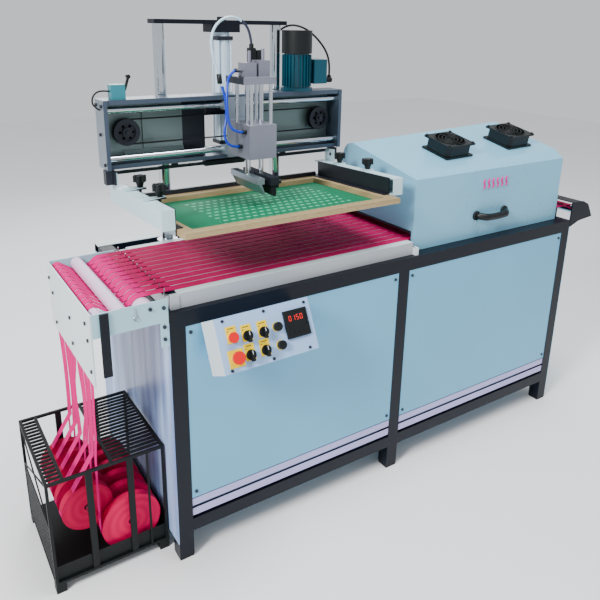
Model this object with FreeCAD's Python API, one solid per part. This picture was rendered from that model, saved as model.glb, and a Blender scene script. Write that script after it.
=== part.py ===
"""Flatbed tape screen printer: table, roller infeed, lifting print head and heater tunnel.

Everything is built in the machine frame: X runs along the table in the direction the tapes
travel, Y runs from the operator's side to the back, Z is up, and zero is the outer corner
of the front left foot. The finished parts are then moved together so that the row's origin
is the middle of the whole machine's footprint on the floor. Lengths are millimetres.
"""
import FreeCAD, Part
import math
import os

V = FreeCAD.Vector
X_AXIS, Y_AXIS, Z_AXIS = V(1, 0, 0), V(0, 1, 0), V(0, 0, 1)

# ---- driving dimensions ----
TABLE_L = 1683.0          # table length
TABLE_W = 659.0           # table depth
TABLE_H = 800.0           # height of the table's top face
TUBE = 45.0               # square tube of the frame
TUBE_WALL = 3.0
FOOT_H = 6.0              # rubber pad under each leg
MID_X = 793.0             # left face of the middle legs
SHEET = 2.0               # sheet metal panels
PANEL_Z0 = 204.0          # bottom edge of the front panels
RAIL_Z0, RAIL_Z1 = 90.0, 132.0    # lower rails

BED_X0, BED_X1 = 40.0, 865.0
BED_Y0, BED_Y1 = 22.0, 448.0
BED_Z = 842.0             # top face of the printing bed
TAPES = 11
TAPE_W = 26.0
TAPE_T = 0.8
LANE_Y = 65.0             # centre line of the first lane
LANE_PITCH = 34.0

HOOD_X0, HOOD_X1 = 880.0, 1642.0
HOOD_Y0, HOOD_Y1 = 42.0, 440.0
HOOD_Z0 = TABLE_H + 1.0
HOOD_EDGE_Z = 1046.0      # top edge of the upright front
HOOD_RIDGE_Y = 385.0
SHOULDER = (88.0, 1056.0, 1076.0)     # Y, then Z at the left and at the right end
RIDGE_Z = (1114.0, 1140.0)            # the lid rises a little towards the right end
HOOD_HINGE_Y, HOOD_HINGE_Z = 452.0, 810.0
FAN_SIDE = 130.0
FAN_T = 50.0
FAN_CORNER = 16.0         # how much of the housing is cut away at each corner
FAN_X = (1106.0, 1430.0)  # left edge of each fan
FAN_Y = 134.0             # front edge of the fans
IMPELLER_R = 56.0

COLUMN_X = (198.0, 613.0)
COLUMN_Y = 492.0
COLUMN_R = 18.0
COLUMN_TOP = 1518.0
LIFT_X = 412.0            # lift cylinder axis
BARREL_R = 25.0
RUNNING = 0.05            # radial clearance of a running fit

BEAM_X0, BEAM_X1 = -17.0, 823.0
BEAM_Y0, BEAM_Y1 = 385.0, 465.0
BEAM_Z0, BEAM_Z1 = 1105.0, 1307.0
END_PLATE = 12.0
RAIL_Y = 410.0
RAIL_R = 10.0
BUSH_R = 14.0
UPPER_RAIL_Z, LOWER_RAIL_Z = 1276.0, 1134.0
PULLEY_X = (61.0, 756.0)
PULLEY_Z = 1207.0
PULLEY_R = 35.0
PULLEY_Y0, PULLEY_Y1 = 424.0, 444.0
BELT_T = 3.0

CARRIAGE_X = 406.0
BLOCK_X0, BLOCK_X1 = 360.0, 453.0
BLOCK_Y0, BLOCK_Y1 = 215.0, 350.0
BLOCK_Z0, BLOCK_Z1 = 1131.0, 1233.0

BLADE_X = (386.0, 432.0)      # flood bar on the left, squeegee on the right
BLADE_Y = 274.0

SCREEN_X0, SCREEN_X1 = 46.0, 758.0
SCREEN_Y0, SCREEN_Y1 = -16.0, 440.0
SCREEN_Z1 = 998.0         # top of the wooden frame before it is tilted
WOOD_W, WOOD_H = 34.0, 16.0
ARM_BOTTOM, ARM_TOP = 998.0, 1052.0    # the screen arms before they are tilted
PIVOT_Y, PIVOT_Z = 402.0, 1078.0
SCREEN_TILT = 2.6         # the front of the screen stands up by this much at rest, degrees

UNIT_X0, UNIT_X1 = -202.0, -2.0   # infeed roller unit
UNIT_Y0, UNIT_Y1 = -2.0, 432.0
UNIT_TOP = 846.0
ROLLERS = {"wrap_roller": (-178.0, 828.0, 14.0),
           "idler_roller": (-120.0, 828.0, 18.0),
           "feed_roller": (-55.0, 814.5, 28.0)}
SHAFT_R = 6.0

CRATE_X0, CRATE_X1 = -336.0, -6.0
CRATE_Y0, CRATE_Y1 = 72.0, 415.0
CRATE_Z1 = 361.0
REEL_ROD_A = (-108.0, 128.0)       # X and Z of the two reel rods
REEL_ROD_B = (-222.0, 208.0)
REEL_RA, REEL_RB = 87.0, 72.0
REEL_Y = 92.0
REEL_PITCH = 29.0
DROP_Z = 636.0            # the tapes spread apart below this height
SLOT_Z = 345.0            # and are in line with their reels below this one
REEL_W = 24.0
ROD_R = 6.0

CONSOLE_X0 = 88.0
CONSOLE_W, CONSOLE_L, CONSOLE_T = 290.0, 145.0, 83.0
CONSOLE_TOP = (-78.0, 795.0)      # Y and Z of the face's top edge
CONSOLE_LEAN = 27.0               # the face leans back from upright, degrees

CABLE_R = 3.5
MOTOR_CABLE = [(796, 428, 1354), (797, 428, 1394), (784, 431, 1434), (756, 437, 1470),
               (720, 446, 1502), (682, 460, 1519), (657, 487, 1518), (638, 520, 1496),
               (633, 543, 1458), (637, 549, 1412), (641, 546, 1366), (641, 540, 1323),
               (640, 537, 1281)]
SWITCH_LEAD_R = 2.5
SWITCH_LEAD = [(14, 418, 1330), (-8, 418, 1333), (-28, 417, 1327), (-39, 417, 1309),
               (-35, 418, 1288), (-17, 418, 1278)]
HOSE_R = 4.0
AIR_HOSE_A = [(348, 236, 1214), (326, 237, 1216), (309, 240, 1232), (303, 243, 1258),
              (303, 247, 1290), (306, 253, 1322), (312, 261, 1352), (322, 268, 1377),
              (343, 272, 1390)]
AIR_HOSE_B = [(348, 262, 1166), (322, 262, 1168), (304, 265, 1189), (304, 269, 1218),
              (315, 275, 1252), (318, 281, 1294), (311, 287, 1338), (298, 292, 1383),
              (285, 296, 1428), (280, 299, 1468), (290, 301, 1506), (318, 303, 1533),
              (356, 305, 1542), (392, 308, 1528), (415, 310, 1500), (420, 310, 1464)]

SHAPES = {}


# ---- small helpers ----
def box(x0, x1, y0, y1, z0, z1):
    return Part.makeBox(x1 - x0, y1 - y0, z1 - z0, V(x0, y0, z0))


def rod(start, radius, length, axis=Z_AXIS):
    return Part.makeCylinder(radius, length, V(*start), axis)


def tube_x(x0, x1, y, z, radius):
    return rod((x0, y, z), radius, x1 - x0, X_AXIS)


def tube_y(x, y0, y1, z, radius):
    return rod((x, y0, z), radius, y1 - y0, Y_AXIS)


def extrude(points, direction):
    wire = Part.makePolygon([V(*p) for p in points] + [V(*points[0])])
    return Part.Face(wire).extrude(V(*direction))


def add(name, *solids):
    SHAPES.setdefault(name, []).extend(solids)


def box_tube(x0, x1, y0, y1, z0, z1, along):
    """A square tube with open ends; along says which way it runs."""
    w = TUBE_WALL
    inner = {"x": box(x0 - 1, x1 + 1, y0 + w, y1 - w, z0 + w, z1 - w),
             "y": box(x0 + w, x1 - w, y0 - 1, y1 + 1, z0 + w, z1 - w),
             "z": box(x0 + w, x1 - w, y0 + w, y1 - w, z0 - 1, z1 + 1)}[along]
    return box(x0, x1, y0, y1, z0, z1).cut(inner)


def lane(i):
    return LANE_Y + LANE_PITCH * i


def bolt_heads(points, axis, radius=5.0, height=4.0):
    """Round heads standing on a face, each at its centre point."""
    return [Part.makeCylinder(radius, height, V(*p), V(*axis)) for p in points]


def cord(name, radius, route):
    """A round cord along straight runs joined by arcs as large as the runs allow."""
    pts = [V(*p) for p in route]
    edges, bends, cursor = [], [], pts[0]
    for a, b, c in zip(pts, pts[1:], pts[2:]):
        before, after = (b - a), (c - b)
        cut = 0.45 * min(before.Length, after.Length)
        before.normalize()
        after.normalize()
        half = before.getAngle(after) / 2
        bend = cut / math.tan(half)
        inward = after - before
        inward.normalize()
        middle = b + inward * (bend / math.cos(half) - bend)
        start, end = b - before * cut, b + after * cut
        edges.append(Part.LineSegment(cursor, start).toShape())
        edges.append(Part.Arc(start, middle, end).toShape())
        bends.append(round(bend))
        cursor = end
    edges.append(Part.LineSegment(cursor, pts[-1]).toShape())
    path = Part.Wire(edges)
    section = Part.Wire(Part.makeCircle(radius, pts[0], pts[1] - pts[0]))
    tube = path.makePipeShell([section], True, True)
    ratio = tube.Volume / (math.pi * radius ** 2 * path.Length)
    print(name, "length", round(path.Length), "radii", bends, "volume ratio", round(ratio, 4))
    add(name, tube)


# ---- table ----
def table_frame():
    top = TABLE_H - TUBE
    xs = (0.0, MID_X, TABLE_L - TUBE)
    ys = (0.0, TABLE_W - TUBE)
    for x in xs:
        for y in ys:
            add("table_legs", box_tube(x, x + TUBE, y, y + TUBE, FOOT_H, top, "z"))
            add("foot_pads", box(x + 1, x + TUBE - 1, y + 1, y + TUBE - 1, 0, FOOT_H))
    for y in ys:
        add("top_rails", box_tube(0, TABLE_L, y, y + TUBE, top, TABLE_H, "x"))
    for x in xs:
        add("top_rails", box_tube(x, x + TUBE, TUBE, TABLE_W - TUBE, top, TABLE_H, "y"))
    left, right = (TUBE, MID_X), (MID_X + TUBE, TABLE_L - TUBE)
    add("inner_rails", box_tube(*left, 470, 515, top, TABLE_H, "x"))
    add("inner_rails", box_tube(*right, 435, 480, top, TABLE_H, "x"))
    for x0, x1 in (left, right):
        for y in ys:
            add("lower_rails", box_tube(x0, x1, y, y + TUBE, RAIL_Z0, RAIL_Z1, "x"))
    for x in xs:
        add("lower_rails", box_tube(x, x + TUBE, TUBE, TABLE_W - TUBE, RAIL_Z0, RAIL_Z1, "y"))


def table_panels():
    top = TABLE_H - TUBE
    left, right = (TUBE, MID_X), (MID_X + TUBE, TABLE_L - TUBE)
    for name, (x0, x1) in (("front_panel_left", left), ("front_panel_right", right)):
        add(name, box(x0, x1, 1, 1 + SHEET, PANEL_Z0, top))
        heads = [(x, 1, z) for x in (x0 + 14, x1 - 14) for z in (PANEL_Z0 + 20, top - 20)]
        add("panel_screws", *bolt_heads(heads, (0, -1, 0), 5, 3))
        for z in (PANEL_Z0 - 28, RAIL_Z1 + 10):
            add("kick_strips", box(x0, x1, 2, 2 + SHEET, z, z + 24))
        back = TABLE_W - SHEET
        add("back_panels", box(x0, x1, back, TABLE_W, RAIL_Z1, top))
        add("bottom_tray", box(x0, x1, TUBE, TABLE_W - TUBE, RAIL_Z1, RAIL_Z1 + SHEET))
        add("deck_panels", box(x0, x1, TUBE, TABLE_W - TUBE, top - SHEET, top))
    add("left_end_panel", box(-SHEET, 0, 0, TABLE_W, 60, top + 20))
    add("right_end_panel", box(TABLE_L, TABLE_L + SHEET, 0, TABLE_W, 60, top + 20))
    add("rear_top_strip", box(0, TABLE_L, TABLE_W - TUBE, TABLE_W, TABLE_H, TABLE_H + SHEET))


def inside_table():
    """The control gear stands on the tray in the left bay."""
    floor = RAIL_Z1 + SHEET
    add("electrical_box", box(120, 460, 330, 560, floor, floor + 420))
    add("electrical_box_door", box(128, 452, 326, 330, floor + 10, floor + 410))
    gland = rod((300, TABLE_W, 260), 12, 10, Y_AXIS)
    gland = gland.fuse(rod((300, TABLE_W + 10, 260), 9, 12, Y_AXIS))
    add("cable_gland", gland.cut(rod((300, TABLE_W - 1, 260), 5, 40, Y_AXIS)))


def bed():
    t = 4.0
    outer = box(BED_X0, BED_X1, BED_Y0, BED_Y1, TABLE_H, BED_Z)
    inner = box(BED_X0 - 1, BED_X1 + 1, BED_Y0 + t, BED_Y1 - t, TABLE_H - 1, BED_Z - t)
    add("printing_bed", outer.cut(inner))
    x0, x1 = BED_X1 + 1, HOOD_X1 + 30
    y0, y1 = HOOD_Y0 + 14, HOOD_Y1 - 14
    outer = box(x0, x1, y0, y1, TABLE_H, BED_Z)
    inner = box(x0 - 1, x1 + 1, y0 + t, y1 - t, TABLE_H - 1, BED_Z - t)
    add("dryer_bed", outer.cut(inner))
    bar = box(2, 14, UNIT_Y0 + 30, UNIT_Y1 - 2, TABLE_H, BED_Z - 2)
    pins = [rod((8, lane(i) - LANE_PITCH / 2, BED_Z - 2), 1.8, 16) for i in range(TAPES + 1)]
    for pin in pins:
        bar = bar.fuse(pin)
    add("guide_comb", bar)
    add("bed_brackets", box(15, BED_X0 - 1, 20, 40, TABLE_H, 838))
    add("bed_brackets", box(15, BED_X0 - 1, 428, 446, TABLE_H, 838))
    add("bed_brackets", box(BED_X1 + 1, HOOD_X0 - 2, 6, 40, TABLE_H, 826))


# ---- tapes ----
def tapes():
    """One flat run per lane: over the feed roller, along the bed and through the heater."""
    gap = 0.3
    fx, fz, fr = ROLLERS["feed_roller"]
    wx, wz, wr = ROLLERS["wrap_roller"]
    for i in range(TAPES):
        y = lane(i) - TAPE_W / 2
        flat = box(fx, 1752, y, y + TAPE_W, BED_Z + gap, BED_Z + gap + TAPE_T)
        add("bed_tapes", flat)
    inner_w, outer_w = wr + gap, wr + gap + TAPE_T
    for i in range(TAPES):
        y = lane(i) - TAPE_W / 2
        on_wrap = half_ring(wx, wz, inner_w, outer_w, y, 70, 180)
        on_feed = half_ring(fx, fz, fr - 1.0 + gap, fr - 1.0 + gap + TAPE_T, y, 90, 200)
        add("roller_tapes", on_wrap, on_feed)


def half_ring(x, z, r0, r1, y, a0, a1):
    """Part of a ring round an axis along Y, from angle a0 to a1 measured up from +X."""
    pts = []
    n = 16
    for k in range(n + 1):
        a = math.radians(a0 + (a1 - a0) * k / n)
        pts.append((x + r1 * math.cos(a), y, z + r1 * math.sin(a)))
    for k in range(n, -1, -1):
        a = math.radians(a0 + (a1 - a0) * k / n)
        pts.append((x + r0 * math.cos(a), y, z + r0 * math.sin(a)))
    return extrude(pts, (0, TAPE_W, 0))


def ribbon(p, q, y0, y1, width):
    """A flat ribbon from p to q, both (X, Z), while its near edge moves from y0 to y1."""
    dx, dz = q[0] - p[0], q[1] - p[1]
    length = math.hypot(dx, dz)
    nx, nz = -dz / length * TAPE_T, dx / length * TAPE_T
    a = Part.makePolygon([V(p[0], y0, p[1]), V(p[0], y0 + width, p[1]),
                          V(p[0] + nx, y0 + width, p[1] + nz), V(p[0] + nx, y0, p[1] + nz),
                          V(p[0], y0, p[1])])
    b = Part.makePolygon([V(q[0], y1, q[1]), V(q[0], y1 + width, q[1]),
                          V(q[0] + nx, y1 + width, q[1] + nz), V(q[0] + nx, y1, q[1] + nz),
                          V(q[0], y1, q[1])])
    return Part.makeLoft([a, b], True, True)


def hanging_tapes():
    wx, wz, wr = ROLLERS["wrap_roller"]
    start = (wx - wr - 1.2, wz)
    for i in range(TAPES):
        y0 = lane(i) - TAPE_W / 2 + 1
        y1 = REEL_Y + REEL_PITCH * i
        axis, radius = ((REEL_ROD_A, REEL_RA), (REEL_ROD_B, REEL_RB))[i % 2]
        low = (start[0], DROP_Z)
        end = (axis[0] - radius - 4, axis[1] + 2)
        t = (DROP_Z - SLOT_Z) / (DROP_Z - end[1])
        slot = (low[0] + (end[0] - low[0]) * t, SLOT_Z)
        tape = ribbon(low, start, y0, y0, REEL_W).fuse(ribbon(slot, low, y1, y0, REEL_W))
        add("hanging_tapes", tape.fuse(ribbon(end, slot, y1, y1, REEL_W)))


# ---- infeed unit ----
def infeed():
    t = 4.0
    end = box(UNIT_X0, UNIT_X0 + t, UNIT_Y0, UNIT_Y1, 648, UNIT_TOP)
    add("infeed_end_plate", end)
    front = box(UNIT_X0 + t, UNIT_X1, UNIT_Y0, UNIT_Y0 + t, 782, UNIT_TOP)
    leg = box(UNIT_X1 - 22, UNIT_X1, UNIT_Y0, UNIT_Y0 + t, 712, 783)
    add("infeed_front_plate", front.fuse(leg))
    rear = box(UNIT_X0 + t, UNIT_X1, UNIT_Y1 - t, UNIT_Y1, 712, UNIT_TOP)
    add("infeed_rear_plate", rear)
    add("infeed_strut", box(-179, -157, UNIT_Y0 - 6, UNIT_Y0, 672, UNIT_TOP - 2))
    hook = rod((-88, UNIT_Y0 - 1.5, 838), 1.5, 22, V(0, 0, -1))
    ring = Part.makeTorus(6, 1.5, V(-88, UNIT_Y0 - 1.5, 811), Y_AXIS)
    add("infeed_hook", hook.fuse(ring))
    heads = [(UNIT_X0, y, z) for y, z in ((418, 800), (386, 763), (202, 759), (41, 809),
                                          (372, 675), (190, 688), (27, 768), (17, 686))]
    add("infeed_bolts", *bolt_heads(heads, (-1, 0, 0), 5, 4))
    heads = [(x, UNIT_Y0, z) for x, z in ((-50, 828), (-14, 770), (-14, 735), (-14, 824))]
    add("infeed_bolts", *bolt_heads(heads, (0, -1, 0), 5, 4))
    for name, (x, z, r) in ROLLERS.items():
        y0, y1 = UNIT_Y0 + t, UNIT_Y1 - t
        radius = r - 1.0 if name == "feed_roller" else r
        body = tube_y(x, y0 + 3, y1 - 3, z, radius)
        bored = body.cut(tube_y(x, y0, y1, z, SHAFT_R + RUNNING))
        add(name, bored)
        add("roller_shafts", tube_y(x, y0, y1, z, SHAFT_R))


def outfeed():
    """The roller that draws the tapes through stands past the heater's right end."""
    x, z, r = 1752.0, 826.0, 16.0
    for y in (0.0, 436.0):
        plate = extrude([(1685, y, 770), (1740, y, 790), (1824, y, 797), (1790, y, 852),
                         (1756, y, 868), (1685, y, 868)], (0, 5, 0))
        add("outfeed_brackets", plate)
    body = tube_y(x, 8, 433, z, r).cut(tube_y(x, 7, 434, z, SHAFT_R + RUNNING))
    add("outfeed_roller", body)
    add("outfeed_shaft", tube_y(x, 5, 436, z, SHAFT_R))
    add("outfeed_guard", box(1690, 1740, 0, 441, 868, 871))


# ---- reels and crate ----
def reels():
    for name, axis, radius, first in (("front_reels", REEL_ROD_A, REEL_RA, 0),
                                      ("rear_reels", REEL_ROD_B, REEL_RB, 1)):
        x, z = axis
        for i in range(first, TAPES, 2):
            y = REEL_Y + REEL_PITCH * i
            disc = tube_y(x, y, y + REEL_W, z, radius)
            add(name, disc.cut(tube_y(x, y - 1, y + REEL_W + 1, z, ROD_R + RUNNING)))
    for x, z in (REEL_ROD_A, REEL_ROD_B):
        add("reel_rods", tube_y(x, CRATE_Y0 + 8, CRATE_Y1 - 8, z, ROD_R))


def crate():
    b = 8.0
    x0, x1, y0, y1 = CRATE_X0, CRATE_X1, CRATE_Y0, CRATE_Y1
    z0, z1 = 28.0, CRATE_Z1
    for x in (x0, x1 - b):
        for y in (y0, y1 - b):
            add("crate_frame", box(x, x + b, y, y + b, z0 + b, z1 - b))
    for z in (z0, z1 - b):
        for y in (y0, y1 - b):
            add("crate_frame", box(x0, x1, y, y + b, z, z + b))
        for x in (x0, x1 - b):
            add("crate_frame", box(x, x + b, y0 + b, y1 - b, z, z + b))
    for x in (x0, x1 - 28):
        for y in (y0, y1 - 28):
            add("crate_feet", box(x, x + 28, y, y + 28, 0, z0))
    slot0, slot1 = -285.0, -160.0
    for x in (slot0 - b, slot1):
        add("crate_top_slats", box(x, x + b, y0 + b, y1 - b, z1 - b, z1))
    n = 18
    pitch = (y1 - y0 - 2 * b) / (n + 1)
    for k in range(n):
        y = y0 + b + pitch * (k + 1) - 3
        add("crate_top_slats", box(x0 + b, slot0 - b, y, y + 6, z1 - 7, z1 - 1))
        add("crate_top_slats", box(slot1 + b, x1 - b, y, y + 6, z1 - 7, z1 - 1))
    for k in range(9):
        z = z0 + b + 10 + 19 * k
        add("crate_side_slats", box(x0 + 1, x0 + 5, y0 + b, y1 - b, z, z + 9))
    for x, w in ((-60.0, 6.0),):
        add("crate_front_bars", box(x, x + w, y0 + 1, y0 + 5, z0 + b, z1 - b))
    for x, z in (REEL_ROD_A, REEL_ROD_B):
        add("crate_rod_bars", box(x - 9, x + 9, y1 - 7, y1 - 1, z0 + b, z1 - b))
        add("crate_rod_bars", box(x - 9, x + 9, y0 + 1, y0 + 7, z0 + b, z1 - b))
    add("crate_panels", box(x0 + b, x1 - b, y0 + 7, y0 + 8, z0 + b, 84))
    add("crate_panels", box(x0 + b, x1 - b, y0 + 8, y1 - b, z0 + b, z0 + b + 2))
    add("crate_panels", box(x1 - 3, x1 - 1, y0 + b, y1 - b, z0 + b, 120))


# ---- lift ----
def lift():
    y = COLUMN_Y
    add("column_base_plate", box(150, 660, 456, 530, TABLE_H, TABLE_H + 12))
    for x in COLUMN_X:
        add("columns", rod((x, y, TABLE_H + 12), COLUMN_R, COLUMN_TOP - TABLE_H - 12))
        collar = rod((x, y, TABLE_H + 12), 34, 20)
        add("column_collars", collar.cut(rod((x, y, TABLE_H), COLUMN_R, 60)))
    add("top_plate", box(176, 642, 464, 520, COLUMN_TOP, COLUMN_TOP + 13))
    add("cylinder_mount", box(362, 462, 460, 524, 1494, COLUMN_TOP))
    add("cylinder_mount", rod((LIFT_X, y, COLUMN_TOP + 13), 14, 10))
    barrel = rod((LIFT_X, y, 1150), BARREL_R, 344)
    barrel = barrel.cut(rod((LIFT_X, y, 1165), BARREL_R - 4, 320))
    barrel = barrel.cut(rod((LIFT_X, y, 1140), 10 + RUNNING, 30))
    add("lift_cylinder", barrel)
    for dx in (-22, 22):
        for dy in (-22, 22):
            add("tie_rods", rod((LIFT_X + dx, y + dy, 1150), 3, 320))
    add("lift_cylinder_caps", *[cap_plate(z) for z in (1138, 1470)])
    piston = rod((LIFT_X, y, 1335), BARREL_R - 4 - RUNNING, 22)
    add("lift_rod", rod((LIFT_X, y, 1125), 10, 210).fuse(piston))


def cap_plate(z):
    """The lower cap guides the rod; the upper one closes the barrel round its outside."""
    y = COLUMN_Y
    half = 27
    plate = box(LIFT_X - half, LIFT_X + half, y - half, y + half, z, z + 12)
    hole = BARREL_R if z > 1200 else 10 + RUNNING
    return plate.cut(rod((LIFT_X, y, z - 1), hole, 40))


# ---- print head ----
def beam():
    x0, x1 = BEAM_X0 + END_PLATE, BEAM_X1 - END_PLATE
    for x in (BEAM_X0, x1):
        add("beam_end_plates", box(x, x + END_PLATE, BEAM_Y0, BEAM_Y1, BEAM_Z0, BEAM_Z1))
    add("beam_top_plate", box(x0, x1, BEAM_Y0 + 4, BEAM_Y1, BEAM_Z1 - 14, BEAM_Z1))
    add("beam_bottom_plate", box(x0, x1, BEAM_Y0 + 14, BEAM_Y1, BEAM_Z0, BEAM_Z0 + 12))
    y = BEAM_Y1 - 8
    for a, b in ((x0, 250.0), (470.0, x1)):
        add("beam_back_plates", box(a, b, y, y + 8, BEAM_Z0 + 12, BEAM_Z1 - 14))
    add("beam_edge_strips", box(118, 126, y - 6, y, 1150, 1262))
    add("beam_edge_strips", box(x0 + 60, 250, y - 6, y, BEAM_Z0 + 12, 1148))
    add("beam_edge_strips", box(470, x1 - 60, y - 6, y, BEAM_Z0 + 12, 1148))
    for z in (UPPER_RAIL_Z, LOWER_RAIL_Z):
        add("carriage_rails", tube_x(x0, x1, RAIL_Y, z, RAIL_R))
    for x in COLUMN_X:
        z0, z1 = 1135, 1275
        house = box(x - 34, x + 34, BEAM_Y1, COLUMN_Y + 32, z0, z1)
        house = house.cut(rod((x, COLUMN_Y, z0 - 1), COLUMN_R + RUNNING, z1 - z0 + 2))
        add("column_bearings", house)
    add("head_blocks", box(330, 450, 446, BEAM_Y1, 1240, BEAM_Z1 - 14))
    add("head_blocks", box(250, 328, y, y + 8, BEAM_Z0 + 12, BEAM_Z1 - 14))
    under = box(320, 465, 441, BEAM_Y1, 1075, BEAM_Z0)
    add("head_blocks", under.fuse(box(360, 465, BEAM_Y1, 525, 1075, 1125)).removeSplitter())
    heads = [(BEAM_X0, y, z) for y, z in ((400, 1290), (450, 1290), (425, 1206), (400, 1120))]
    add("head_bolts", *bolt_heads(heads, (-1, 0, 0), 5, 5))
    heads = [(BEAM_X1, y, z) for y, z in ((400, 1290), (450, 1290), (425, 1206), (400, 1120))]
    add("head_bolts", *bolt_heads(heads, (1, 0, 0), 5, 5))


def pulley(x):
    y0, y1 = PULLEY_Y0, PULLEY_Y1
    body = tube_y(x, y0 + 3, y1 - 3, PULLEY_Z, PULLEY_R)
    for y in (y0, y1 - 3):
        body = body.fuse(tube_y(x, y, y + 3, PULLEY_Z, PULLEY_R + 5))
    body = body.cut(tube_y(x, y0 - 1, y0 + 6, PULLEY_Z, PULLEY_R - 8))
    body = body.fuse(tube_y(x, y0 - 2, y0 + 6, PULLEY_Z, 14))
    for k in range(6):
        a = math.radians(60 * k)
        hole = tube_y(x + 20 * math.cos(a), y0, y1, PULLEY_Z + 20 * math.sin(a), 4.5)
        body = body.cut(hole)
    return body.cut(tube_y(x, y0 - 5, y1 + 5, PULLEY_Z, SHAFT_R + RUNNING))


def belt_drive():
    for name, x in zip(("left_pulley", "right_pulley"), PULLEY_X):
        add(name, pulley(x))
        add("pulley_shafts", tube_y(x, PULLEY_Y0 - 8, BEAM_Y1 - 8, PULLEY_Z, SHAFT_R))
    gap = 0.3
    r0, r1 = PULLEY_R + gap, PULLEY_R + gap + BELT_T
    a, b = PULLEY_X
    y0, y1 = PULLEY_Y0 + 3.5, PULLEY_Y1 - 3.5

    def stadium(r):
        s = box(a, b, y0, y1, PULLEY_Z - r, PULLEY_Z + r)
        return s.fuse(tube_y(a, y0, y1, PULLEY_Z, r)).fuse(tube_y(b, y0, y1, PULLEY_Z, r))
    add("drive_belt", stadium(r1).cut(stadium(r0)).removeSplitter())


def carriage():
    """The slide runs on the two rails; the grey block in front of it carries both blades."""
    cx = CARRIAGE_X
    for x in (cx - 26, cx + 26):
        for z in (UPPER_RAIL_Z, LOWER_RAIL_Z):
            bush = tube_x(x - 18, x + 18, RAIL_Y, z, BUSH_R)
            add("slide_bushes", bush.cut(tube_x(x - 19, x + 19, RAIL_Y, z, RAIL_R + RUNNING)))
    y0, y1 = BLOCK_Y1, 382.0
    add("slide_plate", box(cx - 36, cx + 36, y0 + 20, y1, 1112, 1300))
    add("slide_plate", box(cx - 36, cx + 36, y0, y0 + 20, BLOCK_Z0, BLOCK_Z1))
    for x in (cx - 26, cx + 26):
        for z in (UPPER_RAIL_Z, LOWER_RAIL_Z):
            clamp = box(x - 18, x + 18, y1, RAIL_Y, z - BUSH_R, z + BUSH_R)
            add("slide_plate", clamp.cut(tube_x(x - 19, x + 19, RAIL_Y, z, BUSH_R)))
    block = box(BLOCK_X0, BLOCK_X1, BLOCK_Y0, BLOCK_Y1, BLOCK_Z0, BLOCK_Z1)
    for x in BLADE_X:
        block = block.cut(rod((x, BLADE_Y, BLOCK_Z0 - 1), 8 + RUNNING, 140))
    add("carriage_block", block)
    posts = [(x, y) for x in (374, 440) for y in (229, 318)]
    for x, y in posts:
        add("cylinder_posts", rod((x, y, BLOCK_Z1), 6, 119))
    plate = box(345, 456, 222, 334, 1352, 1372)
    for x in BLADE_X:
        plate = plate.cut(rod((x, BLADE_Y, 1340), 8 + RUNNING, 40))
    add("cylinder_plate", plate)
    for x, top in zip(BLADE_X, (1412, 1418)):
        body = box(x - 19, x + 19, BLADE_Y - 22, BLADE_Y + 22, 1372, top)
        body = body.cut(rod((x, BLADE_Y, 1360), 8 + RUNNING, 40))
        add("blade_cylinders", body)
        add("stroke_screws", rod((x, BLADE_Y - 12, top), 5, 34))
    tower = box(411, 429, 298, 322, 1372, 1452)
    add("hose_tower", tower.fuse(rod((420, 310, 1452), 7, 12)))
    add("hose_tower", box(433, 449, 298, 322, 1372, 1446))
    cord("air_hose_a", HOSE_R, AIR_HOSE_A)
    cord("air_hose_b", HOSE_R, AIR_HOSE_B)
    end = AIR_HOSE_A[-1]
    add("air_fittings", rod(end, 6, 24, X_AXIS))
    for y, z in ((236, 1214), (262, 1166)):
        stub = rod((BLOCK_X0 - 12, y, z), 6, 12, X_AXIS)
        add("air_fittings", stub.fuse(rod((BLOCK_X0 - 12, y, z), 7.5, 4, X_AXIS)))


def blades():
    """Each blade hangs from a piston rod that slides through the block."""
    for name, x in zip(("flood_bar", "squeegee"), BLADE_X):
        add(name + "_rod", rod((x, BLADE_Y, 1076), 8, 310))
    x = BLADE_X[0]
    holder = extrude([(x - 12, 192, 1058), (x - 12, 368, 1058), (x - 12, 368, 1076),
                      (x - 12, 192, 1076)], (24, 0, 0))
    add("flood_bar_holder", holder)
    blade = extrude([(x - 8, 190, 1058), (x + 2, 190, 1058), (x + 14, 190, 1026),
                     (x + 11, 190, 1024)], (0, 180, 0))
    add("flood_bar", blade)
    x = BLADE_X[1]
    add("squeegee_holder", box(x - 14, x + 14, 186, 366, 1052, 1076))
    for y in (212, 340):
        add("squeegee_clamps", box(x + 14, x + 20, y - 14, y + 14, 1040, 1072))
        add("squeegee_clamps", rod((x + 20, y, 1056), 7, 14, X_AXIS))
    blade = box(x - 5, x + 5, 188, 364, 1022, 1052)
    tip = extrude([(x - 5, 188, 1022), (x + 5, 188, 1022), (x, 188, 1016)], (0, 176, 0))
    add("squeegee_blade", blade.fuse(tip))


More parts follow.
